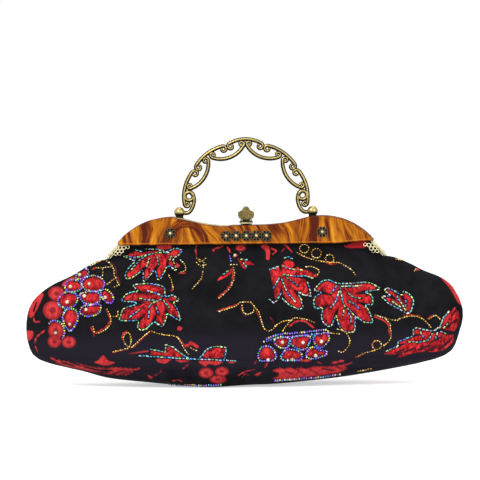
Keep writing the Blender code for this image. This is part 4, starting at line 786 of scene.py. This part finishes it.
def joined(name, parts, material, body, sharp_from=45):
    """One object of several closed forms, each given as points and faces."""
    verts, faces = [], []
    for points, polygons in parts:
        start = len(verts)
        verts += points
        faces += [tuple(i + start for i in polygon) for polygon in polygons]
    obj = mesh_object(name, verts, faces, material)
    bm = bmesh.new()
    bm.from_mesh(obj.data)
    bmesh.ops.recalc_face_normals(bm, faces=bm.faces)
    bm.to_mesh(obj.data)
    bm.free()
    sharp(obj, sharp_from)
    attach(obj, body)
    return obj


def follow(obj, side):
    """The front's cloth and beads stay as built, their placement baked into the mesh; the rear's ride on the rear
    half.
    """
    if side < 0:
        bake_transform(obj)
    else:
        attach(obj, "rear_half")


# Cloth
def make_cloth(side):
    columns = 461
    u = np.linspace(-1, 1, columns)
    u = .82 * np.sin(math.pi / 2 * u) + .18 * u  # closer together at both ends
    bottom = [(share, 0.0) for share in np.linspace(0, 1, 16)[:-1] ** .8]
    rows = bottom + [(1.0, z) for z in (*np.linspace(0, .024, 30), *np.linspace(.0248, .127, 128))]
    share, z = (np.repeat(column, columns) for column in np.array(rows).T)
    middle, width, _, _ = shape_at(z)
    x = middle + np.tile(u, len(rows)) * width
    lift = .0017 * np.exp(-((x - .001) / .024) ** 2) * (1 - smooth(z / .014))
    red, pad, plain, shade_and_print_dark = pattern(*to_plane(-side * x, -np.abs(cloth_y(x, z, side)), z + lift))
    y = cloth_y(x, z, side, pad)
    verts = np.stack([middle + (x - middle) * share, y * share, z + lift * share], 1)
    obj = mesh_object("cloth_" + HALF[side], verts, grid_faces(len(rows), columns, side > 0), CLOTH)
    for name, values in (("red", np.where(share < 1, -8, red)), ("pad", pad * 700), ("plain", plain),
                         ("shade_and_print_dark", shade_and_print_dark)):
        float_attribute(obj, name, values)
    follow(obj, side)
    return obj


cloth_front = make_cloth(-1)
cloth_rear = make_cloth(1)
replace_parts(cloth_front, "front_panel", "front_gather", "base_gusset")
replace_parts(cloth_rear, "rear_panel")

# the plate's upper edge: share of the half length, and share of the height
PLATE_SHARES = ((0, .67), (.21, .695), (.32, .761), (.42, .873), (.51, .969), (.595, 1), (.69, .952), (.79, .816),
                (.89, .553), (.957, .304), (1, .082))


def plate_top(x):
    xs, ys = np.array(PLATE_SHARES).T
    slopes = np.gradient(ys, xs)
    slopes[0] = 0
    at = np.clip(np.abs(x) / PLATE_HALF, 0, 1)
    i = np.clip(np.searchsorted(xs, at) - 1, 0, len(xs) - 2)
    span = xs[i + 1] - xs[i]
    t = (at - xs[i]) / span
    value = ((1 + 2 * t) * (1 - t) ** 2 * ys[i] + t * (1 - t) ** 2 * span * slopes[i]
             + t ** 2 * (3 - 2 * t) * ys[i + 1] + t ** 2 * (t - 1) * span * slopes[i + 1])
    return PLATE_BOTTOM + PLATE_HEIGHT * value


def rim_top(x):
    return plate_top(x) + .0005


LINING_GAP = .0004  # half the slit between both sides of the lining


def make_lining(side, inset=.0016):
    """A sheet of lining just inside the cloth, from the bowl up into the frame's channel."""
    columns, rows, low = 121, 64, .0985
    u = np.linspace(-1, 1, columns)[None, :]
    v = np.linspace(0, 1, rows)[:, None]
    z = low + v * (rim_top(u * .1022) - .0034 - low)
    middle, width, depth, square = shape_at(z)
    wave = .0002 * np.sin(u * 70 + 3 * np.sin(z * 90))
    x = middle + u * (width - inset - .0008)
    y = side * (LINING_GAP + np.maximum(depth - inset + wave, .0009) * lens_at(u, square))
    obj = mesh_object("lining_" + HALF[side], np.stack([x.ravel(), y.ravel(), z.ravel()], 1),
                      grid_faces(rows, columns, side > 0), LINING)
    follow(obj, side)
    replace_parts(obj, f"lining_{HALF[side]}_neck")
    return obj


def make_pouch():
    """The lining's bowl, open at the top."""
    around, zs = 160, np.linspace(.0032, .1, 50)
    u, up = np.array(circle(around)).T
    angle = np.arange(around) * math.tau / around
    rows = []
    for z in zs:
        middle, width, depth, square = shape_at(z)
        inset = .0022 + .0003 * np.sin(angle * 23 + z * 300)
        y = np.sign(up) * (LINING_GAP + lens_at(u, square) * (depth - inset))
        rows.append(np.stack([middle + u * (width - .0030), y, np.full(around, z)], 1))
    obj = mesh_object("lining_bowl", np.concatenate(rows), ring_faces(len(zs), around, "first"), LINING)
    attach(obj, "rear_half")
    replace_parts(obj, "lining_pouch")


linings = {side: make_lining(side) for side in HALF}
make_pouch()


# Beads
PALETTES = {  # colours and how common each is
    "seed": [((.20, .05, .85), 5), ((.05, .14, .80), 3), ((.70, .20, .75), 3), ((.75, .80, .08), 3),
             ((.04, .60, .70), 2), ((.75, .65, .90), 2), ((.04, .50, .20), 1), ((.95, .90, .55), 1)],
    "bugle": [((.03, .50, .62), 5), ((.40, .75, .18), 4), ((.02, .16, .80), 4), ((.80, .85, .18), 4),
              ((.16, .72, .70), 3), ((.70, .45, .75), 1), ((.90, .92, .75), 3), ((.02, .14, .12), 3)],
    "gold": [((.85, .45, .04), 4), ((.95, .65, .14), 4), ((.42, .18, .02), 3), ((1.0, .85, .50), 2)],
    "pearl": [((.95, .82, .48), 3), ((.90, .80, .60), 2)],
}
BEAD_FORMS = {  # radius, half length, profile as places along and shares of the radius, and sides
    "seed": (.00098, .00072, ((-1, .55), (-.62, .96), (.62, .96), (1, .55)), 7),
    "bugle": (.00062, .00118, ((-1, .75), (-.88, 1), (0, 1), (.88, 1), (1, .75)), 6),
    "gold": (.00064, .00082, ((-1, .6), (-.7, 1), (.7, 1), (1, .6)), 6),
    "pearl": (.00165, .00150, ((-.98, .22), (-.7, .72), (0, 1), (.7, .72), (.98, .22)), 10),
}
BUGLE_PITCH, RING_PITCH, SEED_PITCH, GOLD_PITCH = .0032, .0020, .0021, .0022
SCATTER, TILT_SPREAD, SIZE_SPREAD = .0001, .06, .07  # how unevenly the beads are sewn and made
BEADS_LOW, BEADS_HIGH = .0012, .1222
BEADS = {kind: [] for kind in PALETTES}


def lay(kind, points, pitch, closed=False):
    """Lays beads evenly along a way of pixels: the place of each, and its direction."""
    way = in_model(points, closed)
    steps = np.hypot(*np.diff(way, axis=0).T)
    along, total = np.concatenate([[0], np.cumsum(steps)]), steps.sum()
    count = max(1, round(total / pitch))
    at = (np.arange(count) + .5) * total / count
    half = min(total / count, pitch) * .25

    def spots(at):
        return np.stack([np.interp(at, along, way[:, k]) for k in (0, 1)], 1)
    BEADS[kind].extend(zip(spots(at), spots(np.minimum(at + half, total)) - spots(np.maximum(at - half, 0))))


def lay_pearl(spot):
    BEADS["pearl"].append((np.array(place(*spot)), np.array((1.0, 0))))


for name, (outline, veins) in LEAVES.items():
    if name not in PART_BEADED:
        lay("bugle", rounded(outline), BUGLE_PITCH, True)
    for way in [*PART_BEADED.get(name, []), *veins]:
        lay("bugle", way, BUGLE_PITCH)
for _, veins in SPRIGS:
    for vein in veins:
        lay("bugle", vein, BUGLE_PITCH)
for outline, pearl in GRAPES:
    lay("seed", rounded(outline), RING_PITCH, True)
    lay_pearl(pearl)
for row in BEAD_ROWS:
    lay("seed", rounded(row, False, 2), SEED_PITCH)
for way in GOLD:
    lay("gold", rounded(way, False, 2), GOLD_PITCH)
for cx, cy, r in GOLD_RINGS:
    lay("gold", oval(cx, cy, r, r, 20), GOLD_PITCH, True)
for pearl in ((234.7, 256), (55.9, 333.1)):
    lay_pearl(pearl)


def unit(vectors):
    return vectors / np.linalg.norm(vectors, axis=1)[:, None]


def surface_normal(x, z, side):
    step = .0004
    dx = (cloth_y(x + step, z, side) - cloth_y(x - step, z, side)) / (2 * step)
    dz = (cloth_y(x, z + step, side) - cloth_y(x, z - step, side)) / (2 * step)
    return unit(np.stack([-dx, np.ones_like(dx), -dz], 1) * side)


def make_beads(kind, side):
    radius, half, profile, sides = BEAD_FORMS[kind]
    spots, ways = (np.array(values) for values in zip(*BEADS[kind]))
    spots = spots + SURE.normal(0, SCATTER, spots.shape)
    _, pad, _, _ = pattern(*spots.T)
    x, z = spots.T
    for _ in range(5):
        x, z = from_plane(*spots.T, -np.abs(cloth_y(-side * x, z, side, pad)))
    middle, width, _, _ = shape_at(z)
    keep = (z > BEADS_LOW) & (z < BEADS_HIGH) & (np.abs(-side * x - middle) < width * .99)
    x, z, ways, pad = -side * x[keep], z[keep], ways[keep], pad[keep]
    count, rings = len(x), len(profile)
    normal = surface_normal(x, z, side)
    along = np.stack([ways[:, 0] * -side, np.zeros(count), ways[:, 1]], 1)
    along = unit(along - normal * (along * normal).sum(1)[:, None])
    along = unit(along + np.cross(along, normal) * SURE.normal(0, TILT_SPREAD, (count, 1)))
    across = np.cross(along, normal)
    centres = np.stack([x, cloth_y(x, z, side, pad), z], 1) + normal * (radius * .8)
    size = 1 + SURE.normal(0, SIZE_SPREAD, count)
    ring = np.array(circle(sides))
    verts = []
    for at, share in profile:
        spread = across[:, None] * ring[None, :, :1] + normal[:, None] * ring[None, :, 1:]
        verts.append((centres + along * (at * half * size)[:, None])[:, None]
                     + (radius * share * size)[:, None, None] * spread)
    form = ring_faces(rings, sides)
    faces = [[i + bead * rings * sides for i in face] for bead in range(count) for face in form]
    obj = mesh_object(f"{kind}_beads_{HALF[side]}", np.stack(verts, 1).reshape(-1, 3), faces, BEAD_GLASS[kind])
    colours, weights = (np.array(values, float) for values in zip(*PALETTES[kind]))
    base, other = (colours[SURE.choice(len(colours), count, p=weights / weights.sum())] for _ in range(2))
    tint = np.ones((count, rings, sides, 4))
    for k in range(rings):
        share = .45 * smooth(k / (rings - 1)) if kind == "bugle" else .15 * k / (rings - 1)
        tint[:, k, :, :3] = (base * (1 - share) + other * share)[:, None]
    tint[..., :3] *= SURE.uniform(.55, 1.3, (count, 1, 1, 1))
    attribute = obj.data.attributes.new("tint", "FLOAT_COLOR", "POINT")
    attribute.data.foreach_set("color", np.clip(tint, 0, 1).astype(np.float32).ravel())
    follow(obj, side)
    return obj


on_cloth = {side: [make_beads(kind, side) for kind in BEAD_FORMS] for side in HALF}


# Resin plates
def right_lift(x):
    """The front plate's lower edge rises a little at its right end."""
    return .0017 * smooth((x - .076) / .030)


def make_plate(side):
    """A resin plate as rings of one outline, from its back to its face, with a rounded edge."""
    round_r = .0015
    rings = [(0.0, PLATE_BACK, .5), (0.0, PLATE_FACE - round_r, .7)]  # inset, y and how much painted shade the upright rim has
    for a in np.linspace(0, math.pi / 2, 7)[1:]:
        rings.append((round_r * (1 - math.cos(a)), PLATE_FACE - round_r * (1 - math.sin(a)), max(0, 1 - a * .66)))
    rings += [(.0022, PLATE_FACE, 0), (.0032, PLATE_FACE + .00005, 0), (.0045, PLATE_FACE + .0001, 0),
              (.0075, PLATE_FACE + .00015, 0)]
    xs = np.linspace(-PLATE_HALF, PLATE_HALF, 161)
    shift = .0009 * side  # the plate stands a little to the left of the frame's middle
    verts, edge_highlight, rim_shades = [], [], []
    for inset, y, rim_shade in rings:
        x = xs * (1 - inset / PLATE_HALF)
        off = np.abs(x + .038)
        top = plate_top(x) + .0010 * (1 - smooth((.060 - off) / .012) * smooth((.026 - off) / .006))
        mid = (top + PLATE_BOTTOM) / 2
        upper = np.maximum(top - inset, mid + .00002)
        lower = np.minimum(PLATE_BOTTOM + inset + (right_lift(x) if side < 0 else 0), mid - .00002)
        loop = [*zip(x, upper), *zip(x[::-1], lower[::-1])]
        verts += [(a + shift, side * y, b) for a, b in loop]
        # painted highlight: a light band a little inside the plate's lower edge
        edge_highlight += [0.0] * len(xs) + [max(0.0, 1 - abs(inset - .0014) / .0007)] * len(xs)
        rim_shades += [rim_shade] * len(loop)
    n = len(xs) * 2
    last = (len(rings) - 1) * n
    faces = ring_faces(len(rings), n, "first")
    faces += [(last + i, last + i + 1, last + n - 2 - i, last + n - 1 - i) for i in range(len(xs) - 1)]
    obj = mesh_object("resin_" + HALF[side], verts, [f[::-1] for f in faces] if side < 0 else faces, RESIN)
    float_attribute(obj, "edge", edge_highlight)
    float_attribute(obj, "rim_shade", rim_shades)
    sharp(obj, 50)
    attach(obj, HALF[side] + "_half")
    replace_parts(obj, HALF[side] + "_plate")


make_plate(-1)
make_plate(1)


# Scroll handle: strokes in shares of POST_REACH and RISE, from the pivot between the two posts
PIVOT = Vector((0, .0026, .1505957))
POST_REACH, RISE = .0579, .0630
# the second radius is that of the near-black backing, painted shade behind the strokes
STROKE, SHADE_RADIUS, CURL, CURL_TURN, CURL_END = .00130, .00178, .00228, math.radians(285), .62
RING_R, RING_AT = .0037, (-.853, .222)
LOBES = (  # start, end, bulge and the size of the curl at either end. The first lobe mirrors itself.
    ((.242, .943), (-.242, .943), .134, (1.22, 1.22)),
    ((-.346, .908), (-.742, .645), .093, (1.20, 1.18)), ((-.800, .556), (-.921, .105), .107, (1.18, .98)),
    ((-.024, .917), (-.502, .751), -.182, (.98, 1.02)), ((-.558, .709), (-.823, .328), -.168, (1.04, 1)))
HOOK = (-.0004, 0, .0034, -.0004, .0066, -.0006, .0091, .0008, .0111, .0038, .0124, .0076, .0128, .0115, .0119, .0149,
        .0101, .0169)  # from the post's pin inwards and up, in metres from the pin


def heading(a):
    return np.array((math.cos(a), math.sin(a)))


def on_handle(spot):
    return np.array((spot[0] * POST_REACH, spot[1] * RISE))


def curl(start, a, sense, radius, steps=16):
    points, spot, turn = [], start, CURL_TURN / steps
    for i in range(steps):
        r = radius * (1 + (CURL_END - 1) * (i + .5) / steps)
        spot = spot + 2 * r * math.sin(turn / 2) * heading(a + sense * turn * (i + .5))
        points.append(spot)
    return points


def rounded_way(points):
    """A smooth way through points of the handle's plane."""
    p = np.array([points[0], *points, points[-1]], float)
    out = [.5 * (2 * b + (c - a) * t + (2 * a - 5 * b + 4 * c - d) * t * t + (3 * b - a - 3 * c + d) * t ** 3)
           for a, b, c, d in zip(p, p[1:], p[2:], p[3:]) for t in np.arange(0, 1, .2)]
    return [*out, points[-1]]


def scroll(start, end, bulge, sizes):
    """An arc with a curl at both ends, and the radii of its bar."""
    start, end = on_handle(start), on_handle(end)
    chord = end - start
    span = float(np.hypot(*chord))
    sag = abs(bulge) * span
    radius = (span ** 2 / 4 + sag ** 2) / (2 * sag)
    half = math.asin(span / 2 / radius)
    sense = 1 if bulge > 0 else -1
    first = math.atan2(chord[1], chord[0]) - sense * half
    centre = start + sense * radius * heading(first + math.pi / 2)
    arc = [centre - sense * radius * heading(first + math.pi / 2 + sense * 2 * half * i / 24) for i in range(25)]
    head = curl(start, first + math.pi, -sense, CURL * sizes[0])
    tail = curl(end, first + sense * 2 * half, sense, CURL * sizes[1])
    taper = np.linspace(.58, .88, len(head))
    return [*reversed(head), *arc, *tail], STROKE * np.array([*taper, *np.ones(len(arc)), *taper[::-1]])


def bar(points, radii, closed, flat, sides=14):
    """A bar along a way in the handle's plane. flat is its depth over its width."""
    p = np.array(points)
    q = np.vstack([p[-1:], p, p[:1]]) if closed else p
    along = unit(np.gradient(q, axis=0)[1:-1] if closed else np.gradient(q, axis=0))
    verts = [(PIVOT.x + x + dz * r * c, PIVOT.y + flat * r * s, PIVOT.z + z - dx * r * c)
             for (x, z), (dx, dz), r in zip(p, along, radii) for c, s in circle(sides)]
    return verts, ring_faces(len(p), sides, "joined" if closed else "both")


def ball(centre, radius, around, up):
    cx, cy, cz = centre
    verts = [(cx, cy, cz - radius)]
    for b in np.arange(1, up) * math.pi / up:
        reach = radius * math.sin(b)
        verts += [(cx + reach * c, cy + reach * s, cz - radius * math.cos(b)) for c, s in circle(around)]
    verts.append((cx, cy, cz + radius))
    faces = []
    for k in range(around):
        m = (k + 1) % around
        faces.append((0, 1 + m, 1 + k))
        for a in range(1, 1 + (up - 2) * around, around):
            faces.append((a + k, a + m, a + around + m, a + around + k))
        a = 1 + (up - 2) * around
        faces.append((a + k, a + m, len(verts) - 1))
    return verts, faces


def cast(strokes, wider, flat, material, name):
    """All strokes of the handle and their mirror images, as one casting. Curled ends carry balls."""
    parts = []
    for index, (points, radii, closed) in enumerate(strokes):
        radii = radii + STROKE * (wider - 1)
        ways = [(points, radii)]
        if index:
            ways.append(([(-x, z) for x, z in reversed(points)], radii[::-1]))
        for way, thick in ways:
            parts.append(bar(way, thick, closed, flat))
            if index < len(LOBES) and wider == 1:
                parts += [ball((PIVOT.x + x, PIVOT.y, PIVOT.z + z), STROKE * 1.02, 12, 8)
                          for x, z in (way[0], way[-1])]
    return joined(name, parts, material, "handle", 60)


strokes = [(*scroll(*lobe), False) for lobe in LOBES]
hook = [(x - POST_REACH, z) for x, z in rounded_way(points_of(HOOK))]
strokes.append((hook, np.full(len(hook), STROKE), False))
strokes.append(([on_handle(RING_AT) + RING_R * heading(t) for t in np.linspace(0, math.tau, 41)[:-1]],
                np.full(40, STROKE), True))
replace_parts(cast(strokes, 1, 1.05, HANDLE_BRASS, "scroll_handle"), "handle")
# painted shade: a wider, flatter, near-black copy behind the strokes darkens their edges and the gaps between them
cast(strokes, SHADE_RADIUS / STROKE, .45, HANDLE_SHADE, "scroll_painted_shade")


# Metal trim
def half_of(side):
    return HALF[side] + "_half"


def turned(cx, cy, cz, profile, around=28):
    """A turned form about an upright axis: (radius, height) from the bottom up."""
    verts = [(cx + r * c, cy + r * s, cz + h) for r, h in profile for c, s in circle(around)]
    return verts, ring_faces(len(profile), around)


def annulus(cx, cz, inner, outer, y0, y1, sides=16):
    """A flat ring that faces the front or back, a little domed on its outer face."""
    section = ((inner, y0), (outer, y0), (outer, y1), ((inner + outer) / 2, y1 * 1.02), (inner, y1))
    verts = [(cx + r * c, y, cz + r * s) for r, y in section for c, s in circle(sides)]
    return verts, ring_faces(len(section), sides, "joined")


def extruded(outline, y0, y1, round_by):
    """A flat form with a rounded front edge, from a closed outline in x and z."""
    p = np.array(outline)
    q = np.roll(p, -1, 0) - np.roll(p, 1, 0)
    inward = unit(np.stack([-q[:, 1], q[:, 0]], 1))
    steps = [(0, y0), (0, y1 + round_by)]
    steps += [(round_by * (1 - math.cos(t)), y1 + round_by * (1 - math.sin(t)))
              for t in np.linspace(.3, math.pi / 2, 5)]
    steps.append((round_by * 2.2, y1 - .00005))
    return [(a, y, b) for inset, y in steps for a, b in p + inward * inset], ring_faces(len(steps), len(p))


def bar_between(x0, x1, y, z, radius, around=12):
    """A small round bar along x with domed ends."""
    rows = [(x0, .3), (x0 + radius * .3, .8), (x0 + radius, 1), (x1 - radius, 1), (x1 - radius * .3, .8), (x1, .3)]
    verts = [(x, y + radius * r * c, z + radius * r * s) for x, r in rows for c, s in circle(around)]
    return verts, ring_faces(len(rows), around)


def arm_inner(z):
    """How far from the middle an arm's inner edge stands at height z."""
    return .1071 + (CLOTH_TOP - z) * .855


ARM_TOP = (PLATE_HALF - .0022, float(rim_top(PLATE_HALF - .0022)) - .0009)
ARM_FOOT = (PLATE_HALF + .0078, .1128)
ROPE_STEP, ROPE_R, EDGE_STEP, EDGE_R, MARK_STEP, MARK_R = .0006, .00070, .0004, .00045, .00135, .00052


def rope(side):
    """A rounded edge along both arms of one half, a row of dark marks beside it and a thin inner edge."""
    bars, marks = [], []
    start = np.array(ARM_TOP)
    way = np.array(ARM_FOOT) - start
    count = int(np.hypot(*way) / ROPE_STEP)
    for hand in HAND:
        for k in range(count + 1):
            x, z = start + way * k / count
            bars.append(ball((hand * x, side * .0040, z), ROPE_R, 8, 6))
        for z in np.arange(.1118, PLATE_BOTTOM, EDGE_STEP):
            bars.append(ball((hand * (arm_inner(z) + .0003), side * .0051, z), EDGE_R, 8, 6))
        for z in np.arange(.1122, PLATE_BOTTOM, MARK_STEP):
            marks.append(annulus(hand * (arm_inner(z) + .0013), z, .0001, MARK_R, side * .0048, side * .00512, 8))
    joined("rope_edge_" + HALF[side], bars, PALE_GILT, half_of(side))
    joined("edge_marks_" + HALF[side], marks, DARK_BRASS, half_of(side))


# the pierced flange's rings: reach from the middle, drop below the plate, and size
LACE = ((.1096, .0019, 1), (.1062, .0019, 1), (.1030, .0014, .92), (.1116, .0049, 1), (.1083, .0049, 1),
        (.1134, .0072, .9), (.1101, .0074, .82))
LACE_HOLE, LACE_R = .00118, .00186
FLANGE_BACK, FLANGE_FACE = .00522, .0060


def lace(side, hand):
    """The pierced flange as rows of small rings that touch, inside the arm."""
    name = f"{HALF[side]}_flange_{HAND[hand]}"
    rings = [annulus(hand * x, PLATE_BOTTOM - drop, LACE_HOLE, LACE_R * share, side * FLANGE_BACK,
                     side * FLANGE_FACE, 18) for x, drop, share in LACE]
    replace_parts(joined("lace_" + name, rings, PALE_GILT, half_of(side)), name)


ARM_RED = (342, 246.9, 352, 242.6, 367, 239, 367, 246.4, 361, 248.4, 352, 247.8)  # a print on the arm's cloth
ARM_END = .078


def backing(side, hand):
    """Cloth drawn over the arm, behind the pierced flange."""
    rows, columns = 14, 30
    verts = [(hand * x, side * (.00502 + .00006 * math.sin(x * 4000)), z)
             for z in np.linspace(PLATE_BOTTOM + .0026, .1100, rows)
             for x in np.linspace(arm_inner(z) + .0005, ARM_END, columns)]
    obj = mesh_object(f"arm_cloth_{HALF[side]}_{HAND[hand]}", verts, grid_faces(rows, columns, side * hand > 0),
                      ARM_CLOTH)
    obj.data.materials.append(ARM_PRINT)
    if side * hand < 0:
        centres = np.array([face.center for face in obj.data.polygons])
        printed = inside(centres[:, 0] * hand, centres[:, 2], ARM_RED)
        obj.data.polygons.foreach_set("material_index", printed.astype(np.int32))
    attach(obj, half_of(side))


POST_R = .0046
COLLAR = ((.0042, -.0062), (.0042, -.0054), (.0037, -.0049), (.0033, -.0044), (.0034, -.0036), (.0028, -.0031))


def post(hand):
    """A ball on a short dark collar, which the handle's pin goes into."""
    profile = [(POST_R * math.cos(t), POST_R * math.sin(t)) for t in np.linspace(-1.2, math.pi / 2 - .02, 22)]
    name = "handle_post_" + HAND[hand]
    spot = (hand * POST_REACH, PIVOT.y, PIVOT.z)
    obj = joined("ball_" + name, [turned(*spot, profile)], POST_BRASS, "rear_half")
    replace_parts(obj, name)
    # the collar's near-black stands partly for painted shade under the ball
    joined("collar_" + name, [turned(*spot, COLLAR)], DARK_BRASS, "rear_half")


CLUB = ((0, .15225, .00325), (-.00305, .14810, .00392), (.00305, .14810, .00392))  # x, z and radius of its rounds
CLUB_MIDDLE, STEM_DOWN, STEM_HALF = (0, .1484), .0046, .0045


def tab():
    """The clasp's club-shaped tab, and the bar of its bracket under it."""
    outline = []
    centre = np.array(CLUB_MIDDLE)
    for t in np.linspace(0, math.tau, 97)[:-1]:
        way = heading(t)
        best = 0
        for cx, cz, r in CLUB:
            off = np.array((cx, cz)) - centre
            along = off @ way
            deep = r * r - (off @ off - along * along)
            if deep > 0:
                best = max(best, along + math.sqrt(deep))
        if way[1] < 0:
            best = max(best, min(STEM_DOWN / -way[1], STEM_HALF / max(abs(way[0]), 1e-6)))
        outline.append(centre + way * best)
    joined("club_tab", [extruded(outline, -.0036, -.0050, .0005)], TAB_BRASS, "clasp_lever")
    joined("clasp_bar", [bar_between(-.0051, .0051, -.0048, .1409, .00066)], PALE_GILT, "front_half")


for hand in HAND:
    post(hand)
tab()
for side in HALF:
    for hand in HAND:
        backing(side, hand)
    rope(side)
    for hand in HAND:
        lace(side, hand)

CAP_X, CAP_SIDE_Z = .0658, float(rim_top(.0658)) - .0135
ROW_PITCH, CAP_ROW_Z = .00875, float(rim_top(0)) - .0086
CAP_BACK, PETALS, PETAL_REACH = .0096, 8, .00345
STUD_Y, STUD_R, STUD_FLAT = .0113, .00145, .8
# inner and outer radius, height and sides of a cap's rings and grounds
MIDDLE_RING, PETAL_RING = (.00165, .00205, .0013, 28), (.00102, .00136, .0011, 14)
MIDDLE_GROUND, PETAL_GROUND = (.0003, .0036, .0004, 28), (.0001, .00130, .0005, 14)


def flower(side, x, z, place_name):
    """A flower cap, eight ringed petals on a dark scalloped ground round a raised ring, and its domed stud."""
    name, body = f"{HALF[side]}_flower_{place_name}", half_of(side)

    def ring(cx, cz, inner, outer, high, sides):
        return annulus(cx, cz, inner, outer, side * CAP_BACK, side * (CAP_BACK + high), sides)
    petals = [np.array((x, z)) + PETAL_REACH * heading(math.tau * (k + .5) / PETALS) for k in range(PETALS)]
    rings = [ring(x, z, *MIDDLE_RING)] + [ring(*spot, *PETAL_RING) for spot in petals]
    ground = [ring(*spot, *PETAL_GROUND) for spot in petals] + [ring(x, z, *MIDDLE_GROUND)]
    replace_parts(joined("open_" + name, rings, FLOWER_METAL, body), name)
    joined("ground_" + name, ground, FLOWER_DARK, body)
    verts, faces = ball((x, 0, z), STUD_R, 14, 10)
    dome = [(a, side * STUD_Y + b * STUD_FLAT, c) for a, b, c in verts]
    joined(f"bright_{HALF[side]}_stud_{place_name}", [(dome, faces)], STUD_BRASS, body)


end_caps = {HAND[hand]: (hand * CAP_X, CAP_SIDE_Z) for hand in HAND}
row_caps = {f"row_{i + 1}": ((i - 2) * ROW_PITCH, CAP_ROW_Z) for i in range(5)}
for side, caps in ((-1, end_caps | row_caps), (1, end_caps)):
    for place_name, (x, z) in caps.items():
        flower(side, x, z, place_name)


# Piping cords in the channels
PIPING_HALF, PIPING_Y, PIPING_DROP = PLATE_HALF * .9, .0026, .0023
STRAND, STRAND_OFF, TWIST_PITCH = .00042, .00036, .0032


def piping(side):
    """A cord of two twisted strands, held in the frame's channel along the plate's upper edge."""
    xs = np.linspace(-PIPING_HALF, PIPING_HALF, 420)
    zs = rim_top(xs) - PIPING_DROP
    steps = np.concatenate([[0], np.cumsum(np.hypot(np.diff(xs), np.diff(zs)))])
    slope = np.gradient(zs, xs)
    normals = unit(np.stack([-slope, np.ones(len(xs))], 1))
    parts = []
    for strand in (0, math.pi):
        verts = []
        for x, z, n, t in zip(xs, zs, normals, steps / TWIST_PITCH * math.tau + strand):
            for c, s in circle(6):
                up, back = STRAND_OFF * math.cos(t) + STRAND * c, STRAND_OFF * math.sin(t) + STRAND * s
                verts.append((x + n[0] * up, side * PIPING_Y + back, z + n[1] * up))
        parts.append((verts, ring_faces(len(xs), 6)))
    name = HALF[side] + "_piping"
    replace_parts(joined("twisted_" + name, parts, CORD, half_of(side)), name)


piping(-1)
piping(1)

# Materials of the CAD pieces that stay: the first entry that a name fits
STAYING = ((("front_frame", "rear_frame"), PALE_GILT), (("stud", "rivet"), STUD_BRASS),
           (("handle_post",), POST_BRASS), (("clasp_bracket", "clasp_lever", "clasp_pin"), DARK_BRASS),
           (("clasp",), TAB_BRASS))
for name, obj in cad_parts.items():
    for marks, material in STAYING:
        if any(mark in name for mark in marks):
            obj.data.materials.clear()
            obj.data.materials.append(material)
            break


# Stage, light and camera
def stage_material():
    n = new_material("paper_floor")
    shader = n.tree.nodes["Principled BSDF"].outputs[0]
    glow = n.add("Emission", Strength=n.times(n.seen(), .50)).outputs[0]
    n.give(n.tree.nodes["Material Output"].inputs["Surface"], n.add("AddShader", shader, glow).outputs[0])
    return n.shade(Base_Color=(.86, .86, .86), Roughness=.9, Specular_IOR_Level=.1)


FLOOR_REACH = 6
floor = mesh_object("floor", [(x * FLOOR_REACH, y * FLOOR_REACH, 0) for x, y in ((-1, -1), (1, -1), (1, 1), (-1, 1))],
                    [(0, 1, 2, 3)], stage_material())

world = bpy.data.worlds.new("studio")
bpy.context.scene.world = world
n = Nodes(world)
sky = n.tree.nodes["Background"].inputs
n.give(sky["Color"], WHITE)
n.give(sky["Strength"], n.math("MAXIMUM", n.seen(), .62))


def lamp(name, spot, size, power):
    light = bpy.data.lights.new(name, "AREA")
    light.shape = "RECTANGLE"
    light.size, light.size_y = size
    light.energy = power
    obj = bpy.data.objects.new(name, light)
    bpy.context.scene.collection.objects.link(obj)
    obj.location = spot
    obj.rotation_euler = (LIT_SPOT - Vector(spot)).to_track_quat("-Z", "Y").to_euler()


LIT_SPOT = Vector((0, 0, .1))
lamp("key", (-.55, -.9, 1.0), (.4, .4), 9.0)
lamp("fill", (.8, -.9, .5), (.7, .7), 4.0)
lamp("top", (.1, .3, 1.3), (.9, .6), 3.4)

SENSOR_MM, PICTURE_PX = 36, 480
camera = bpy.data.objects.new("camera", bpy.data.cameras.new("camera"))
bpy.context.scene.collection.objects.link(camera)
camera.location = EYE
direction = (AIM - camera.location).to_track_quat("-Z", "Y").to_matrix().to_4x4()
camera.rotation_euler = (direction @ Matrix.Rotation(-ROLL, 4, "Z")).to_euler()
camera.data.sensor_width = SENSOR_MM
camera.data.lens = SENSOR_MM * DISTANCE / (PICTURE_PX * PX)
camera.data.clip_start = .05
bpy.context.scene.camera = camera
bpy.context.scene.view_settings.view_transform = "Standard"
